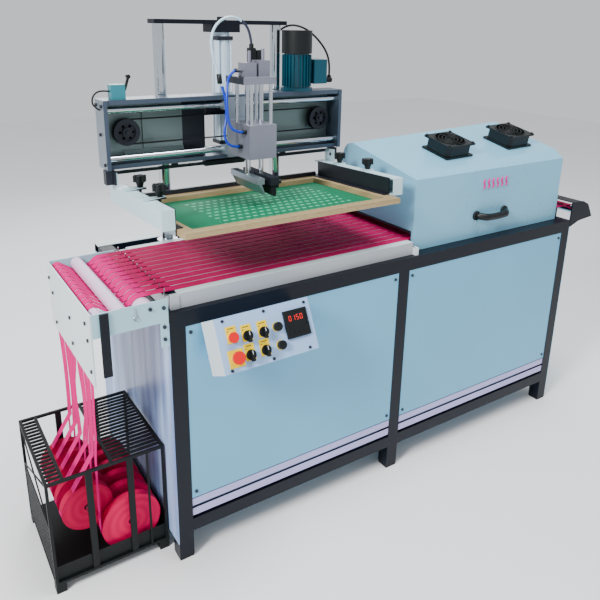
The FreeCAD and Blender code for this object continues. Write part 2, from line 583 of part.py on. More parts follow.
def motor():
    x, y, z = 660.0, 428.0, BEAM_Z1
    add("motor_flange", rod((x, y, z), 54, 10))
    fins = rod((x, y, z + 10), 43, 112)
    for k in range(24):
        a = 15 * k
        fin = box(40, 50, -1.2, 1.2, z + 14, z + 118)
        fin.rotate(V(0, 0, 0), Z_AXIS, a)
        fin.translate(V(x, y, 0))
        fins = fins.fuse(fin)
    add("motor_body", fins)
    cover = rod((x, y, z + 122), 51, 74)
    cover = cover.cut(rod((x, y, z + 121), 49, 73))
    for k in range(8):
        a = math.radians(45 * k)
        for r in (16, 34):
            slot = rod((x + r * math.cos(a), y + r * math.sin(a), z + 190), 4, 30)
            cover = cover.cut(slot)
    add("motor_fan_cover", cover)
    add("motor_terminal_box", box(x + 50, x + 102, y - 34, y + 34, z + 22, z + 102))
    end = MOTOR_CABLE[0]
    elbow = rod((x + 102, y, 1338), 9, end[0] - x - 94, X_AXIS)
    elbow = elbow.fuse(rod((end[0], y, 1332), 7, end[2] - 1332))
    add("cable_elbow", elbow.removeSplitter())
    cord("motor_cable", CABLE_R, MOTOR_CABLE)
    end = MOTOR_CABLE[-1]
    ledge = box(628, 652, 524, 550, 1235, 1260)
    add("cable_bracket", ledge.fuse(rod((end[0], end[1], 1260), 7, end[2] - 1260)))
    add("gearbox", box(656, 790, BEAM_Y1, BEAM_Y1 + 62, 1150, 1290))


def sensor():
    y = 418.0
    add("limit_switch", box(14, 56, y - 16, y + 16, BEAM_Z1, BEAM_Z1 + 42))
    cord("switch_lead", SWITCH_LEAD_R, SWITCH_LEAD)
    lever = extrude([(56, y - 3, 1330), (62, y - 3, 1330), (74, y - 3, 1366), (68, y - 3, 1369)],
                    (0, 6, 0))
    add("limit_lever", lever.fuse(tube_y(71, y - 6, y + 6, 1370, 6)))


# ---- screen ----
def tilt(shape):
    """Parts drawn level are turned about the arm pivot so that the front stands up."""
    shape.rotate(V(0, PIVOT_Y, PIVOT_Z), V(1, 0, 0), -SCREEN_TILT)
    return shape


def screen():
    x0, x1, y0, y1 = SCREEN_X0, SCREEN_X1, SCREEN_Y0, SCREEN_Y1
    z0, z1 = SCREEN_Z1 - WOOD_H, SCREEN_Z1
    w = WOOD_W
    for a, b in ((y0, y0 + w), (y1 - w, y1)):
        add("screen_frame", tilt(box(x0, x1, a, b, z0, z1)))
    for a, b in ((x0, x0 + w), (x1 - w, x1)):
        add("screen_frame", tilt(box(a, b, y0 + w, y1 - w, z0, z1)))
    add("screen_mesh", tilt(box(x0 + 20, x1 - 20, y0 + 4, y1 - 4, z0 - 1.2, z0)))
    for name, xa, side in (("left_arm", x0 - 40, 1), ("right_arm", x1 + 4, -1)):
        xb = xa + 36
        web_x = (xa, xa + 4) if side > 0 else (xb - 4, xb)
        ya, yb = (36, 455) if side > 0 else (20, 455)
        za, zb = ARM_BOTTOM, ARM_TOP
        arm = box(*web_x, ya, yb, za, zb)
        for part in (box(xa, xb, ya, yb, zb - 4, zb), box(xa, xb, ya, yb, za, za + 4),
                     box(xa, xb, ya, ya + 4, za, zb),
                     box(*web_x, PIVOT_Y - 20, PIVOT_Y + 34, zb, PIVOT_Z + 18)):
            arm = arm.fuse(part)
        arm = arm.cut(rod((xa - 1, PIVOT_Y, PIVOT_Z), 6 + RUNNING, 40, X_AXIS))
        inner, wood = (xb, x0) if side > 0 else (xa, x1)
        clamp = box(*sorted((inner, wood)), 40, 430, z0 - 3, zb)
        for z in (z0 - 3, z1):
            clamp = clamp.fuse(box(*sorted((inner, wood + 18 * side)), 40, 430, z, z + 3))
        for kx, ky in KNOBS:
            if (kx < LIFT_X) != (side > 0):
                continue
            lug = box(xa, max(xb, kx + 14), ky - 14, ky + 14, zb, zb + 6)
            add("clamp_lugs", tilt(lug.cut(rod((kx, ky, zb - 9), 4 + RUNNING, 40))))
            arm = arm.cut(rod((kx, ky, zb - 9), 4 + RUNNING, 40))
        add(name, tilt(arm.removeSplitter()))
        add("screen_clamps", tilt(clamp.removeSplitter()))
    add("screen_rear_bar", tilt(box(x0, x1, y1 + 2, y1 + 14, z0 - 2, z0 + 30)))
    for k, (x, y) in enumerate(KNOBS):
        add("clamp_knob_%d" % (k + 1), tilt(star_knob(x, y, ARM_TOP + 6.3)))


KNOBS = ((58.0, 177.0), (58.0, 331.0), (783.0, 177.0), (783.0, 331.0))


def star_knob(x, y, z):
    body = rod((x, y, z + 16), 15, 18)
    for k in range(6):
        a = math.radians(60 * k)
        body = body.fuse(rod((x + 14 * math.cos(a), y + 14 * math.sin(a), z + 16), 6, 18))
    cone = Part.makeCone(8, 13, 16, V(x, y, z), Z_AXIS)
    stem = rod((x, y, z - 36), 4, 37)
    return body.fuse(cone).fuse(stem).removeSplitter()


def screen_hangers():
    """Brackets under the beam's ends hold the pivot bolts of the two arms."""
    for x, bolt_x in ((-1.0, -1.0), (799.0, 793.0)):
        ear = box(x, x + 6, PIVOT_Y - 22, PIVOT_Y + 30, PIVOT_Z - 16, BEAM_Z0)
        add("pivot_brackets", ear.cut(tube_x(x - 1, x + 7, PIVOT_Y, PIVOT_Z, 6)))
        add("pivot_bolts", tube_x(bolt_x, bolt_x + 12, PIVOT_Y, PIVOT_Z, 6))
    add("pivot_brackets", box(-22, -1, PIVOT_Y - 13, PIVOT_Y + 13, PIVOT_Z - 16, BEAM_Z0))
    bar = box(12, 790, 429, 439, 1083, 1093)
    for x in (200.0, 600.0):
        bar = bar.fuse(box(x, x + 20, 429, 439, 1093, BEAM_Z0))
    add("cross_bars", bar.removeSplitter())


# ---- heater hood ----
def lid_z(x, y):
    """Height of the lid's flat part over a point."""
    t = (x - HOOD_X0) / (HOOD_X1 - HOOD_X0)
    low = SHOULDER[1] + (SHOULDER[2] - SHOULDER[1]) * t
    high = RIDGE_Z[0] + (RIDGE_Z[1] - RIDGE_Z[0]) * t
    return low + (high - low) * (y - SHOULDER[0]) / (HOOD_RIDGE_Y - SHOULDER[0])


def hood_profile(inset, end, x):
    """The hood's outline across the machine at one end, moved inwards by inset."""
    y0, y1 = HOOD_Y0 + inset, HOOD_Y1 - inset
    ridge = RIDGE_Z[end] - inset
    r = HOOD_Y1 - HOOD_RIDGE_Y - inset
    z0 = HOOD_Z0 if inset == 0 else HOOD_Z0 - 1
    points = [(y0, z0), (y0, HOOD_EDGE_Z - inset), (SHOULDER[0], SHOULDER[1 + end] - inset),
              (HOOD_RIDGE_Y, ridge)]
    for k in range(1, 7):
        a = math.radians(15 * k)
        points.append((HOOD_RIDGE_Y + r * math.sin(a), ridge - r + r * math.cos(a)))
    points += [(y1, z0), (y0, z0)]
    return Part.makePolygon([V(x, y, z) for y, z in points])


def hood_solid(inset):
    ends = [hood_profile(inset, 0, HOOD_X0 + inset), hood_profile(inset, 1, HOOD_X1 - inset)]
    return Part.makeLoft(ends, True, True)


def hood():
    shell = hood_solid(0).cut(hood_solid(SHEET))
    slot = box(HOOD_X0 - 5, HOOD_X1 + 5, HOOD_Y0 + 8, HOOD_Y1 - 8, HOOD_Z0 - 2, 862)
    shell = shell.cut(slot)
    for x in FAN_X:
        hole = rod((x + FAN_SIDE / 2, FAN_Y + FAN_SIDE / 2, -40), IMPELLER_R + 4, 80)
        shell = shell.cut(on_lid(hole, x))
    add("hood_shell", shell)
    lip = box(HOOD_X0 - 4, HOOD_X0, HOOD_Y0 + 8, HOOD_Y1 - 8, 862, 870)
    add("hood_lip", lip)
    y = HOOD_Y0
    z = 883.0
    grip = box(1166, 1332, y - 32, y - 18, z - 9, z + 9)
    for x in (1166.0, 1314.0):
        grip = grip.fuse(box(x, x + 18, y - 18, y, z - 11, z + 11))
    add("hood_handle", grip.removeSplitter())
    add("hood_sign", box(1187, 1345, y - 1, y, 975, 1011))


def on_lid(shape, x):
    """Moves a part drawn flat at Z=0 onto the lid; x is the left edge of the fan."""
    mid = x + FAN_SIDE / 2
    y0, y1 = FAN_Y, FAN_Y + FAN_SIDE
    z0, z1 = lid_z(mid, y0), lid_z(mid, y1)
    shape.rotate(V(0, y0, 0), X_AXIS, math.degrees(math.atan2(z1 - z0, y1 - y0)))
    roll = lid_z(x + FAN_SIDE, y0) - lid_z(x, y0)
    shape.rotate(V(mid, 0, 0), Y_AXIS, -math.degrees(math.atan2(roll, FAN_SIDE)))
    shape.translate(V(0, 0, z0 + 0.8))
    return shape


def fan_body(cx, cy):
    """Two square plates joined by a housing whose corners are cut away for the screws."""
    a, b = FAN_SIDE / 2, FAN_SIDE / 2 - 4
    c = b - FAN_CORNER
    outline = [(b, -c), (b, c), (c, b), (-c, b), (-b, c), (-b, -c), (-c, -b), (c, -b)]
    face = Part.Face(Part.makePolygon([V(cx + x, cy + y, 0) for x, y in outline + outline[:1]]))
    body = face.extrude(V(0, 0, FAN_T))
    for z in (0, FAN_T - 7):
        body = body.fuse(box(cx - a, cx + a, cy - a, cy + a, z, z + 7))
    return body


def fans():
    t = FAN_T
    for k, x in enumerate(FAN_X):
        cx, cy = x + FAN_SIDE / 2, FAN_Y + FAN_SIDE / 2
        body = fan_body(cx, cy)
        body = body.cut(rod((cx, cy, -1), IMPELLER_R + 2, t + 2))
        for a in (0, 90, 180, 270):
            strut = box(cx + 15, cx + IMPELLER_R + 5, cy - 4, cy + 4, 1, 5)
            strut.rotate(V(cx, cy, 0), Z_AXIS, a + 20)
            body = body.fuse(strut)
        body = body.fuse(rod((cx, cy, 1), 22, 5))
        add("fan_frames", on_lid(body, x))
        add("fan_spindles", on_lid(rod((cx, cy, 6), 3, 36), x))
        hub = rod((cx, cy, 8), 22, 34)
        for b in range(7):
            blade = box(20, IMPELLER_R, -1, 1, 12, 38)
            blade.rotate(V(0, 0, 25), X_AXIS, 38)
            blade.rotate(V(0, 0, 0), Z_AXIS, b * 360 / 7)
            blade.translate(V(cx, cy, 0))
            hub = hub.fuse(blade)
        hub = hub.cut(rod((cx, cy, 0), 3 + RUNNING, 60))
        add("fan_impeller_%d" % (k + 1), on_lid(hub, x))
        reach = IMPELLER_R + 4
        wire = tube_x(cx - reach, cx + reach, cy, t + 1.4, 1.3)
        cross = tube_y(cx, cy - reach, cy + reach, t + 1.4, 1.3)
        guard = wire.fuse(cross)
        for r in (16, 29, 42, 55):
            guard = guard.fuse(Part.makeTorus(r, 1.4, V(cx, cy, t + 1.6), Z_AXIS))
        add("fan_guards", on_lid(guard, x))
        corners = [(x + a, FAN_Y + b) for a in (7, FAN_SIDE - 7) for b in (7, FAN_SIDE - 7)]
        for px, py in corners:
            add("fan_screws", on_lid(rod((px, py, t), 5, 4), x))


def heater_inside():
    x0, x1, y0, y1 = 950.0, 1575.0, 70.0, 415.0
    tray = box(x0, x1, y0, y1, 925, 965).cut(box(x0 + 2, x1 - 2, y0 + 2, y1 - 2, 920, 963))
    add("heater_reflector", tray)
    for k in range(8):
        x = x0 + 40 + 78 * k
        add("heater_tubes", tube_y(x, y0 + 2, y1 - 2, 942, 6))
    for y in (y0, y1):
        a, b = (HOOD_Y0 + SHEET, y0) if y == y0 else (y1, HOOD_Y1 - SHEET)
        add("heater_brackets", box(1000, 1030, a, b, 945, 948))
        add("heater_brackets", box(1495, 1525, a, b, 945, 948))


def hood_hinges():
    y, z = HOOD_HINGE_Y, HOOD_HINGE_Z
    for x in (960.0, 1500.0):
        for a, b in ((x, x + 20), (x + 61, x + 81)):
            knuckle = tube_x(a, b, y, z, 7).fuse(box(a, b, y - 3, y + 7, TABLE_H, z))
            add("hinge_fixed", knuckle.cut(tube_x(a - 1, b + 1, y, z, 3)))
        a, b = x + 21, x + 60
        leaf = tube_x(a, b, y, z, 7).fuse(box(a, b, HOOD_Y1, y, z, z + 5))
        leaf = leaf.fuse(box(a, b, HOOD_Y1, HOOD_Y1 + 3, z, z + 40))
        add("hinge_moving", leaf.cut(tube_x(a - 1, b + 1, y, z, 3 + RUNNING)))
        add("hinge_pins", tube_x(x, x + 81, y, z, 3))


# ---- console ----
def on_console(shape):
    """Moves a part drawn on a flat face onto the console.

    The flat drawing has X across the face, Y up it and Z out of it, with zero at the
    face's top left corner.
    """
    y, z = CONSOLE_TOP
    lean = math.radians(CONSOLE_LEAN)
    up = V(0, math.sin(lean), math.cos(lean))
    out = V(0, -math.cos(lean), math.sin(lean))
    shape = shape.copy()
    turn = FreeCAD.Rotation(X_AXIS, up, out)
    shape.Placement = FreeCAD.Placement(V(CONSOLE_X0, y, z), turn).multiply(shape.Placement)
    return shape


def face_box(u0, u1, w0, w1, t0, t1):
    """A box on the console face: u across, w down, t out of the face."""
    return on_console(box(u0, u1, -w1, -w0, t0, t1))


def face_rod(u, w, t0, t1, radius):
    return on_console(rod((u, -w, t0), radius, t1 - t0))


SELECTORS = ((84.0, 61.0), (132.0, 62.0), (81.0, 111.0), (127.0, 110.0))
POTS = ((174.0, 58.0), (174.0, 108.0))
START_BUTTON = (41.0, 56.0)
STOP_BUTTON = (40.0, 109.0)
STEM_R = 8.0


def console():
    case = face_box(0, CONSOLE_W, 0, CONSOLE_L, -CONSOLE_T, 0)
    hollow = face_box(2, CONSOLE_W - 2, 2, CONSOLE_L - 2, -CONSOLE_T - 1, -2)
    case = case.cut(hollow)
    controls = SELECTORS + POTS + (START_BUTTON, STOP_BUTTON)
    for u, w in controls:
        case = case.cut(face_rod(u, w, -5, 5, STEM_R + 3))
    case = case.cut(face_box(206, 270, 30, 94, -5, 5))
    add("console_case", case)
    add("console_back", face_box(0, CONSOLE_W, 0, CONSOLE_L, -CONSOLE_T - 2, -CONSOLE_T))
    for u in (20.0, CONSOLE_W - 50.0):
        y, z = CONSOLE_TOP
        lean = math.radians(CONSOLE_LEAN)
        depth = CONSOLE_T + 2.0
        w = 100.0
        py = y + depth * math.cos(lean) - w * math.sin(lean)
        pz = z - depth * math.sin(lean) - w * math.cos(lean)
        x = CONSOLE_X0 + u
        arm = extrude([(x, py, pz), (x, -1, pz - 30), (x, -1, pz + 20)], (30, 0, 0))
        add("console_brackets", arm)
    for u, w in SELECTORS + (START_BUTTON,):
        plate = face_box(u - 15, u + 15, w - 30, w + 14, 0, 1.2)
        add("legend_plates", plate.cut(face_rod(u, w, -1, 3, STEM_R + 3)))
    u, w = STOP_BUTTON
    plate = face_box(u - 22, u + 22, w - 22, w + 24, 0, 1.2)
    add("legend_plates", plate.cut(face_rod(u, w, -1, 3, STEM_R + 3)))
    for u, w in controls:
        collar = face_rod(u, w, -30, 4, STEM_R + 3).fuse(face_rod(u, w, 1.4, 4, STEM_R + 5))
        add("control_collars", collar.cut(face_rod(u, w, -31, 5, STEM_R + RUNNING)))
    u, w = START_BUTTON
    add("start_button", face_rod(u, w, -28, 10, STEM_R).fuse(face_rod(u, w, 9, 14, 14)))
    u, w = STOP_BUTTON
    mushroom = face_rod(u, w, -28, 14, STEM_R).fuse(face_rod(u, w, 13, 22, 17))
    add("stop_button", mushroom)
    for k, (u, w) in enumerate(SELECTORS):
        knob = face_rod(u, w, -28, 8, STEM_R).fuse(face_rod(u, w, 4.3, 9, 14))
        knob = knob.fuse(face_box(u - 4, u + 4, w - 12, w + 17, 9, 19))
        add("selector_%d" % (k + 1), knob)
    for k, (u, w) in enumerate(POTS):
        knob = face_rod(u, w, -28, 8, STEM_R).fuse(face_rod(u, w, 4.3, 16, 12))
        mark = face_box(u - 1, u + 1, w - 11, w, 15, 17)
        add("speed_knob_%d" % (k + 1), knob.cut(mark))
    bezel = face_box(200, 274, 24, 100, 0, 6).cut(face_box(206, 268, 30, 72, 3, 8))
    add("controller", bezel.fuse(face_box(207, 269, 31, 93, -70, 0)))
    add("controller_window", face_box(206, 268, 30, 72, 3, 4.5))
    keys = [face_box(208 + 15 * k, 220 + 15 * k, 80, 90, 6, 7) for k in range(4)]
    add("controller_keys", *keys)
    corners = ((23, 9), (146, 9), (274, 12), (21, 138), (146, 138), (262, 136))
    add("console_screws", *[face_rod(u, w, 0, 2.5, 4) for u, w in corners])


# ---- put together ----
# Pieces that share a node: each stays a solid of its own.
NODES = {
    "table_frame": ("table_legs", "top_rails", "inner_rails", "lower_rails"),
    "table_panels": ("front_panel_left", "front_panel_right", "back_panels", "deck_panels",
                     "bottom_tray", "right_end_panel", "kick_strips", "rear_top_strip",
                     "cable_gland"),
    "bed_plates": ("printing_bed", "dryer_bed", "bed_brackets", "guide_comb"),
    "roller_brackets": ("infeed_end_plate", "infeed_front_plate", "infeed_rear_plate",
                        "infeed_strut", "infeed_hook", "outfeed_brackets", "outfeed_guard",
                        "roller_shafts", "outfeed_shaft"),
    "fasteners": ("infeed_bolts", "panel_screws", "console_screws"),
    "tape_webs": ("bed_tapes", "roller_tapes"),
    "reel_crate": ("crate_frame", "crate_feet", "crate_top_slats", "crate_side_slats",
                   "crate_front_bars", "crate_rod_bars", "crate_panels", "reel_rods"),
    "lift_frame": ("columns", "column_collars", "column_base_plate", "top_plate",
                   "cylinder_mount"),
    "lift_cylinder": ("lift_cylinder", "lift_cylinder_caps", "tie_rods"),
    "console_case": ("console_case", "console_back", "console_brackets"),
    "control_plates": ("legend_plates", "control_collars"),
    "temperature_controller": ("controller", "controller_window", "controller_keys"),
    "electrical_box": ("electrical_box", "electrical_box_door"),
    "hood_hinges": ("hinge_fixed", "hinge_pins"),
    "beam_frame": ("beam_end_plates", "beam_top_plate", "beam_bottom_plate",
                   "beam_back_plates", "beam_edge_strips"),
    "head_mounts": ("column_bearings", "head_blocks", "pivot_brackets", "cross_bars",
                    "lift_rod", "pulley_shafts", "head_bolts", "pivot_bolts",
                    "cable_bracket"),
    "drive_motor": ("motor_flange", "motor_body", "motor_fan_cover", "motor_terminal_box",
                    "cable_elbow", "gearbox"),
    "limit_switch": ("limit_switch", "limit_lever"),
    "carriage_slide": ("slide_bushes", "slide_plate"),
    "carriage_block": ("carriage_block", "air_fittings", "cylinder_posts", "cylinder_plate",
                       "blade_cylinders", "stroke_screws", "hose_tower"),
    "squeegee": ("squeegee_rod", "squeegee_holder", "squeegee_clamps", "squeegee_blade"),
    "flood_bar": ("flood_bar_rod", "flood_bar_holder", "flood_bar"),
    "screen_arms": ("left_arm", "right_arm", "screen_clamps", "clamp_lugs", "screen_rear_bar"),
    "hood_shell": ("hood_shell", "hood_lip", "hood_sign", "hinge_moving"),
    "heater_unit": ("heater_reflector", "heater_tubes", "heater_brackets"),
    "fan_frames": ("fan_frames", "fan_guards", "fan_spindles", "fan_screws"),
}


def build():
    for make in (table_frame, table_panels, inside_table, bed, tapes, hanging_tapes, infeed,
                 outfeed, reels, crate, lift, beam, belt_drive, carriage, blades, motor, sensor,
                 screen, screen_hangers, hood, fans, heater_inside, hood_hinges, console):
        make()


def export():
    os.makedirs("parts", exist_ok=True)
    whole = FreeCAD.BoundBox()
    for solids in SHAPES.values():
        for solid in solids:
            whole.add(solid.BoundBox)
    shift = V(-whole.Center.x, -whole.Center.y, -whole.ZMin)
    print("machine frame to row frame, mm:", round(shift.x, 4), round(shift.y, 4), round(shift.z, 4))
    print("size, mm:", round(whole.XLength, 1), round(whole.YLength, 1), round(whole.ZLength, 1))
    nodes = {}
    grouped = {piece: node for node, pieces in NODES.items() for piece in pieces}
    for name, solids in SHAPES.items():
        nodes.setdefault(grouped.get(name, name), []).extend(solids)
    for name, solids in nodes.items():
        shape = solids[0] if len(solids) == 1 else Part.makeCompound(solids)
        shape.translate(shift)
        shape.exportStep("parts/%s.step" % name)
    print("pieces:", len(SHAPES), "nodes:", len(nodes))


build()
export()
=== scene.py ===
# %% [markdown]
# # A tape screen printer, dressed for a studio picture
#
# The machine is a long steel table. Narrow tapes leave a crate of reels on the left, climb
# over three rollers, run along a flat bed under a framed screen, and dry in a heated tunnel
# on the right. A beam on two columns carries a belt-driven carriage with a squeegee.
#
# The shapes come from the CAD part. This script adds what the CAD leaves plain: the woven
# tapes, the tensioned mesh, the cords and hoses, small trim, and the surface of every piece.

import math

import bpy
from mathutils import Matrix, Vector


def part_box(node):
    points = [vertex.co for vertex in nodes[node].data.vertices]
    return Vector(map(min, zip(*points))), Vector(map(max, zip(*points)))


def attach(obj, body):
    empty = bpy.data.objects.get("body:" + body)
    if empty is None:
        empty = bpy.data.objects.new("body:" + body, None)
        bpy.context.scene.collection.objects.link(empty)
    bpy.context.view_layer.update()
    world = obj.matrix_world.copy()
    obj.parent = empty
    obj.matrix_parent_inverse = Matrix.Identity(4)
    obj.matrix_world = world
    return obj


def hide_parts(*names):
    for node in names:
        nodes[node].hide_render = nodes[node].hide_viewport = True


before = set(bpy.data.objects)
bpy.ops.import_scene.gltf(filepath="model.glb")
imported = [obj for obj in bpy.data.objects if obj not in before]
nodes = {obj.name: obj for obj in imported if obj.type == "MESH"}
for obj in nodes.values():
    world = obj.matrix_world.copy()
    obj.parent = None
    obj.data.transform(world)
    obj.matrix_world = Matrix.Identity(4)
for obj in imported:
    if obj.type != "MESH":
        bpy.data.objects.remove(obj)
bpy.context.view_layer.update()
low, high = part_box("table_frame")
ORIGIN = Vector((low[0], low[1], 0.0))


def at(x, y, z):
    """A point given in millimetres from the floor under the front left leg."""
    return ORIGIN + Vector((x, y, z)) / 1000


print("nodes", len(nodes), "corner of the table", [round(v, 4) for v in ORIGIN])

# %% [markdown]
# ## Where the viewer stands
#
# The camera looks at the machine from the front left, a little above the beam. It could be
# aimed with a tracking constraint, but a written matrix is exact and has nothing to update.
# Its three columns are the picture's right, its up, and the direction back to the viewer.

# %% Camera
AZIMUTH, ELEVATION, ROLL = math.radians(-33.14), math.radians(17.50), math.radians(0.94)
ca, sa, ce, se = math.cos(AZIMUTH), math.sin(AZIMUTH), math.cos(ELEVATION), math.sin(ELEVATION)
back = Vector((sa * ce, -ca * ce, se))
right = Vector((ca, sa, 0.0))
up = back.cross(right)
cr, sr = math.cos(ROLL), math.sin(ROLL)
axes = (right * cr + up * sr, up * cr - right * sr, back)

lens = bpy.data.cameras.new("viewer")
lens.sensor_width, lens.lens = 36.0, 38.49
lens.shift_x, lens.shift_y = 0.007, -0.1225
viewer = bpy.data.objects.new("viewer", lens)
viewer.matrix_world = Matrix.Translation(at(-555, -1444, 1522)) @ Matrix(axes).transposed().to_4x4()
bpy.context.collection.objects.link(viewer)
bpy.context.scene.camera = viewer
print("camera at", [round(v, 3) for v in viewer.matrix_world.translation])

# %% [markdown]
# ## Cords first
#
# A cord is a NURBS curve whose control points are the route, with a round bevel. The curve
# is smooth everywhere, so no bend looks folded. The routes are the ones the CAD tubes take.

# %% Cords and hoses
CORDS = {
    "motor_cable": (3.5, "head", [
        (796, 428, 1354), (797, 428, 1394), (784, 431, 1434), (756, 437, 1470),
        (720, 446, 1502), (682, 460, 1519), (657, 487, 1518), (638, 520, 1496),
        (633, 543, 1458), (637, 549, 1412), (641, 546, 1366), (641, 540, 1323),
        (640, 537, 1281)]),
    "switch_lead": (2.5, "head", [
        (14, 418, 1330), (-8, 418, 1333), (-28, 417, 1327), (-39, 417, 1309),
        (-35, 418, 1288), (-17, 418, 1278)]),
    "air_hose_a": (4.0, "carriage", [
        (348, 236, 1214), (326, 237, 1216), (309, 240, 1232), (303, 243, 1258),
        (303, 247, 1290), (306, 253, 1322), (312, 261, 1352), (322, 268, 1377),
        (343, 272, 1390)]),
    "air_hose_b": (4.0, "carriage", [
        (348, 262, 1166), (322, 262, 1168), (304, 265, 1189), (304, 269, 1218),
        (315, 275, 1252), (318, 281, 1294), (311, 287, 1338), (298, 292, 1383),
        (285, 296, 1428), (280, 299, 1468), (290, 301, 1506), (318, 303, 1533),
        (356, 305, 1542), (392, 308, 1528), (415, 310, 1500), (420, 310, 1464)]),
}


def along(curve):
    """Length of an evaluated curve's centreline."""
    flat = curve.copy()
    flat.data = curve.data.copy()
    flat.data.bevel_depth = 0.0
    mesh = flat.to_mesh()
    total = sum((mesh.vertices[e.vertices[0]].co - mesh.vertices[e.vertices[1]].co).length
                for e in mesh.edges)
    bpy.data.objects.remove(flat)
    return total


cords = {}
for name, (radius, body, route) in CORDS.items():
    data = bpy.data.curves.new(name + "_line", "CURVE")
    data.dimensions = "3D"
    data.bevel_depth, data.bevel_resolution, data.use_fill_caps = 1.0, 4, True
    line = data.splines.new("NURBS")
    line.points.add(len(route) - 1)
    for point, place in zip(line.points, route):
        point.co = (*at(*place), 1.0)
        point.radius = radius / 1000
    line.order_u, line.use_endpoint_u, line.resolution_u = 3, True, 12
    piece = bpy.data.objects.new(name + "_look", data)
    bpy.context.collection.objects.link(piece)
    length = along(piece)
    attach(piece, body)
    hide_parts(name)
    cords[name] = piece
    print(name, "length", round(length, 3), "m")

# %% [markdown]
# ## Writing materials as arithmetic
#
# Node trees get long when every link is spelled out. A small class wraps a socket so that
# `a * 0.5 + b` makes the Math nodes. Colours and vectors go through Mix and Vector Math.
# Every other node comes from one method that takes the type, its settings and its inputs.

# %% The socket wrapper
class Wire:
    """An output socket that can be added, multiplied and compared."""

    def __init__(self, tree, socket):
        self.tree, self.socket = tree, socket

    def _math(self, kind, *others):
        node = self.tree.nodes.new("ShaderNodeMath")
        node.operation = kind
        for slot, value in zip(node.inputs, (self, *others)):
            feed(self.tree, slot, value)
        return Wire(self.tree, node.outputs[0])

    def __add__(self, other):
        return self._math("ADD", other)

    def __sub__(self, other):
        return self._math("SUBTRACT", other)

    def __mul__(self, other):
        return self._math("MULTIPLY", other)

    def __gt__(self, other):
        return self._math("GREATER_THAN", other)

    def __lt__(self, other):
        return self._math("LESS_THAN", other)

    def __radd__(self, other):
        return self + other

    def __rmul__(self, other):
        return self * other

    def __rsub__(self, other):
        return self * -1.0 + other

    def clamp(self):
        return self._math("MINIMUM", 1.0)._math("MAXIMUM", 0.0)

    def wave(self):
        return self._math("SINE")

    def part(self):
        return self._math("FRACT")

    def root(self):
        return self._math("SQRT")

    def whole(self):
        return self._math("FLOOR")


def feed(tree, slot, value):
    if isinstance(value, Wire):
        tree.links.new(value.socket, slot)
    elif value is not None:
        slot.default_value = value


class Paint:
    """One material while its nodes are being written."""

    def __init__(self, name):
        self.material = bpy.data.materials.new(name)
        self.material.use_nodes = True
        self.tree = self.material.node_tree
        self.shader = self.tree.nodes["Principled BSDF"]
        self.place = self.node("ShaderNodeTexCoord", pick="Object")

    def node(self, kind, pick=0, settings=None, **inputs):
        made = self.tree.nodes.new(kind)
        for key, value in (settings or {}).items():
            setattr(made, key, value)
        for key, value in inputs.items():
            feed(self.tree, made.inputs[key.replace("_", " ")], value)
        return Wire(self.tree, made.outputs[pick])

    def stretch(self, x, y, z, source=None):
        return self.node("ShaderNodeMapping", Vector=source or self.place, Scale=(x, y, z))

    def noise(self, scale, detail=4.0, source=None):
        return self.node("ShaderNodeTexNoise", pick=0, Vector=source or self.place,
                         Scale=scale, Detail=detail)

    def xyz(self, source=None):
        made = self.tree.nodes.new("ShaderNodeSeparateXYZ")
        feed(self.tree, made.inputs[0], source or self.place)
        return [Wire(self.tree, out) for out in made.outputs]

    def mix(self, factor, a, b):
        made = self.tree.nodes.new("ShaderNodeMix")
        made.data_type = "RGBA"
        feed(self.tree, made.inputs[0], factor)
        feed(self.tree, made.inputs[6], a if isinstance(a, Wire) else (*a, 1.0))
        feed(self.tree, made.inputs[7], b if isinstance(b, Wire) else (*b, 1.0))
        return Wire(self.tree, made.outputs[2])

    def bump(self, height, strength, distance=0.001):
        made = self.node("ShaderNodeBump", Height=height, Strength=strength, Distance=distance)
        self.set(Normal=made)

    def set(self, **inputs):
        for key, value in inputs.items():
            name = key.replace("_", " ")
            if name == "Base Color" and not isinstance(value, Wire):
                value = (*value, 1.0)
            feed(self.tree, self.shader.inputs[name], value)
        return self.material


def shade(colour, by):
    return tuple(min(1.0, c * by) for c in colour)


# %% [markdown]
# ## Surfaces
#
# Most of the machine is sheet steel with paint on it. Real paint has a fine orange-peel
# ripple, faint clouds of dust and duller patches where hands have been, so one recipe makes
# every painted colour. Bare metals get brushing that follows the direction of the work.

# %% Painted, moulded and metal finishes
def painted(name, colour, rough=0.38, peel=0.06, dirt=0.10, metal=0.0, shine=0.5):
    p = Paint(name)
    cloud = p.noise(3.0, 6.0)
    speck = p.noise(70.0, 2.0)
    base = p.mix((cloud * 1.6 - 0.4).clamp(), shade(colour, 1.0 - dirt), shade(colour, 1.0 + dirt * 0.5))
    p.bump(p.noise(420.0, 1.0), peel, 0.0004)
    return p.set(Base_Color=base, Roughness=rough + (cloud - 0.5) * 0.16 + (speck - 0.5) * 0.08,
                 Metallic=metal, Specular_IOR_Level=shine)


def brushed(name, colour, rough=0.32, grain=(6.0, 900.0, 900.0), metal=1.0):
    p = Paint(name)
    lines = p.noise(1.0, 3.0, source=p.stretch(*grain))
    stain = p.noise(9.0, 5.0)
    base = p.mix((stain * 1.8 - 0.5).clamp(), shade(colour, 0.86), colour)
    p.bump(lines, 0.12, 0.0003)
    return p.set(Base_Color=base, Roughness=rough + (lines - 0.5) * 0.22 + (stain - 0.5) * 0.12,
                 Metallic=metal)


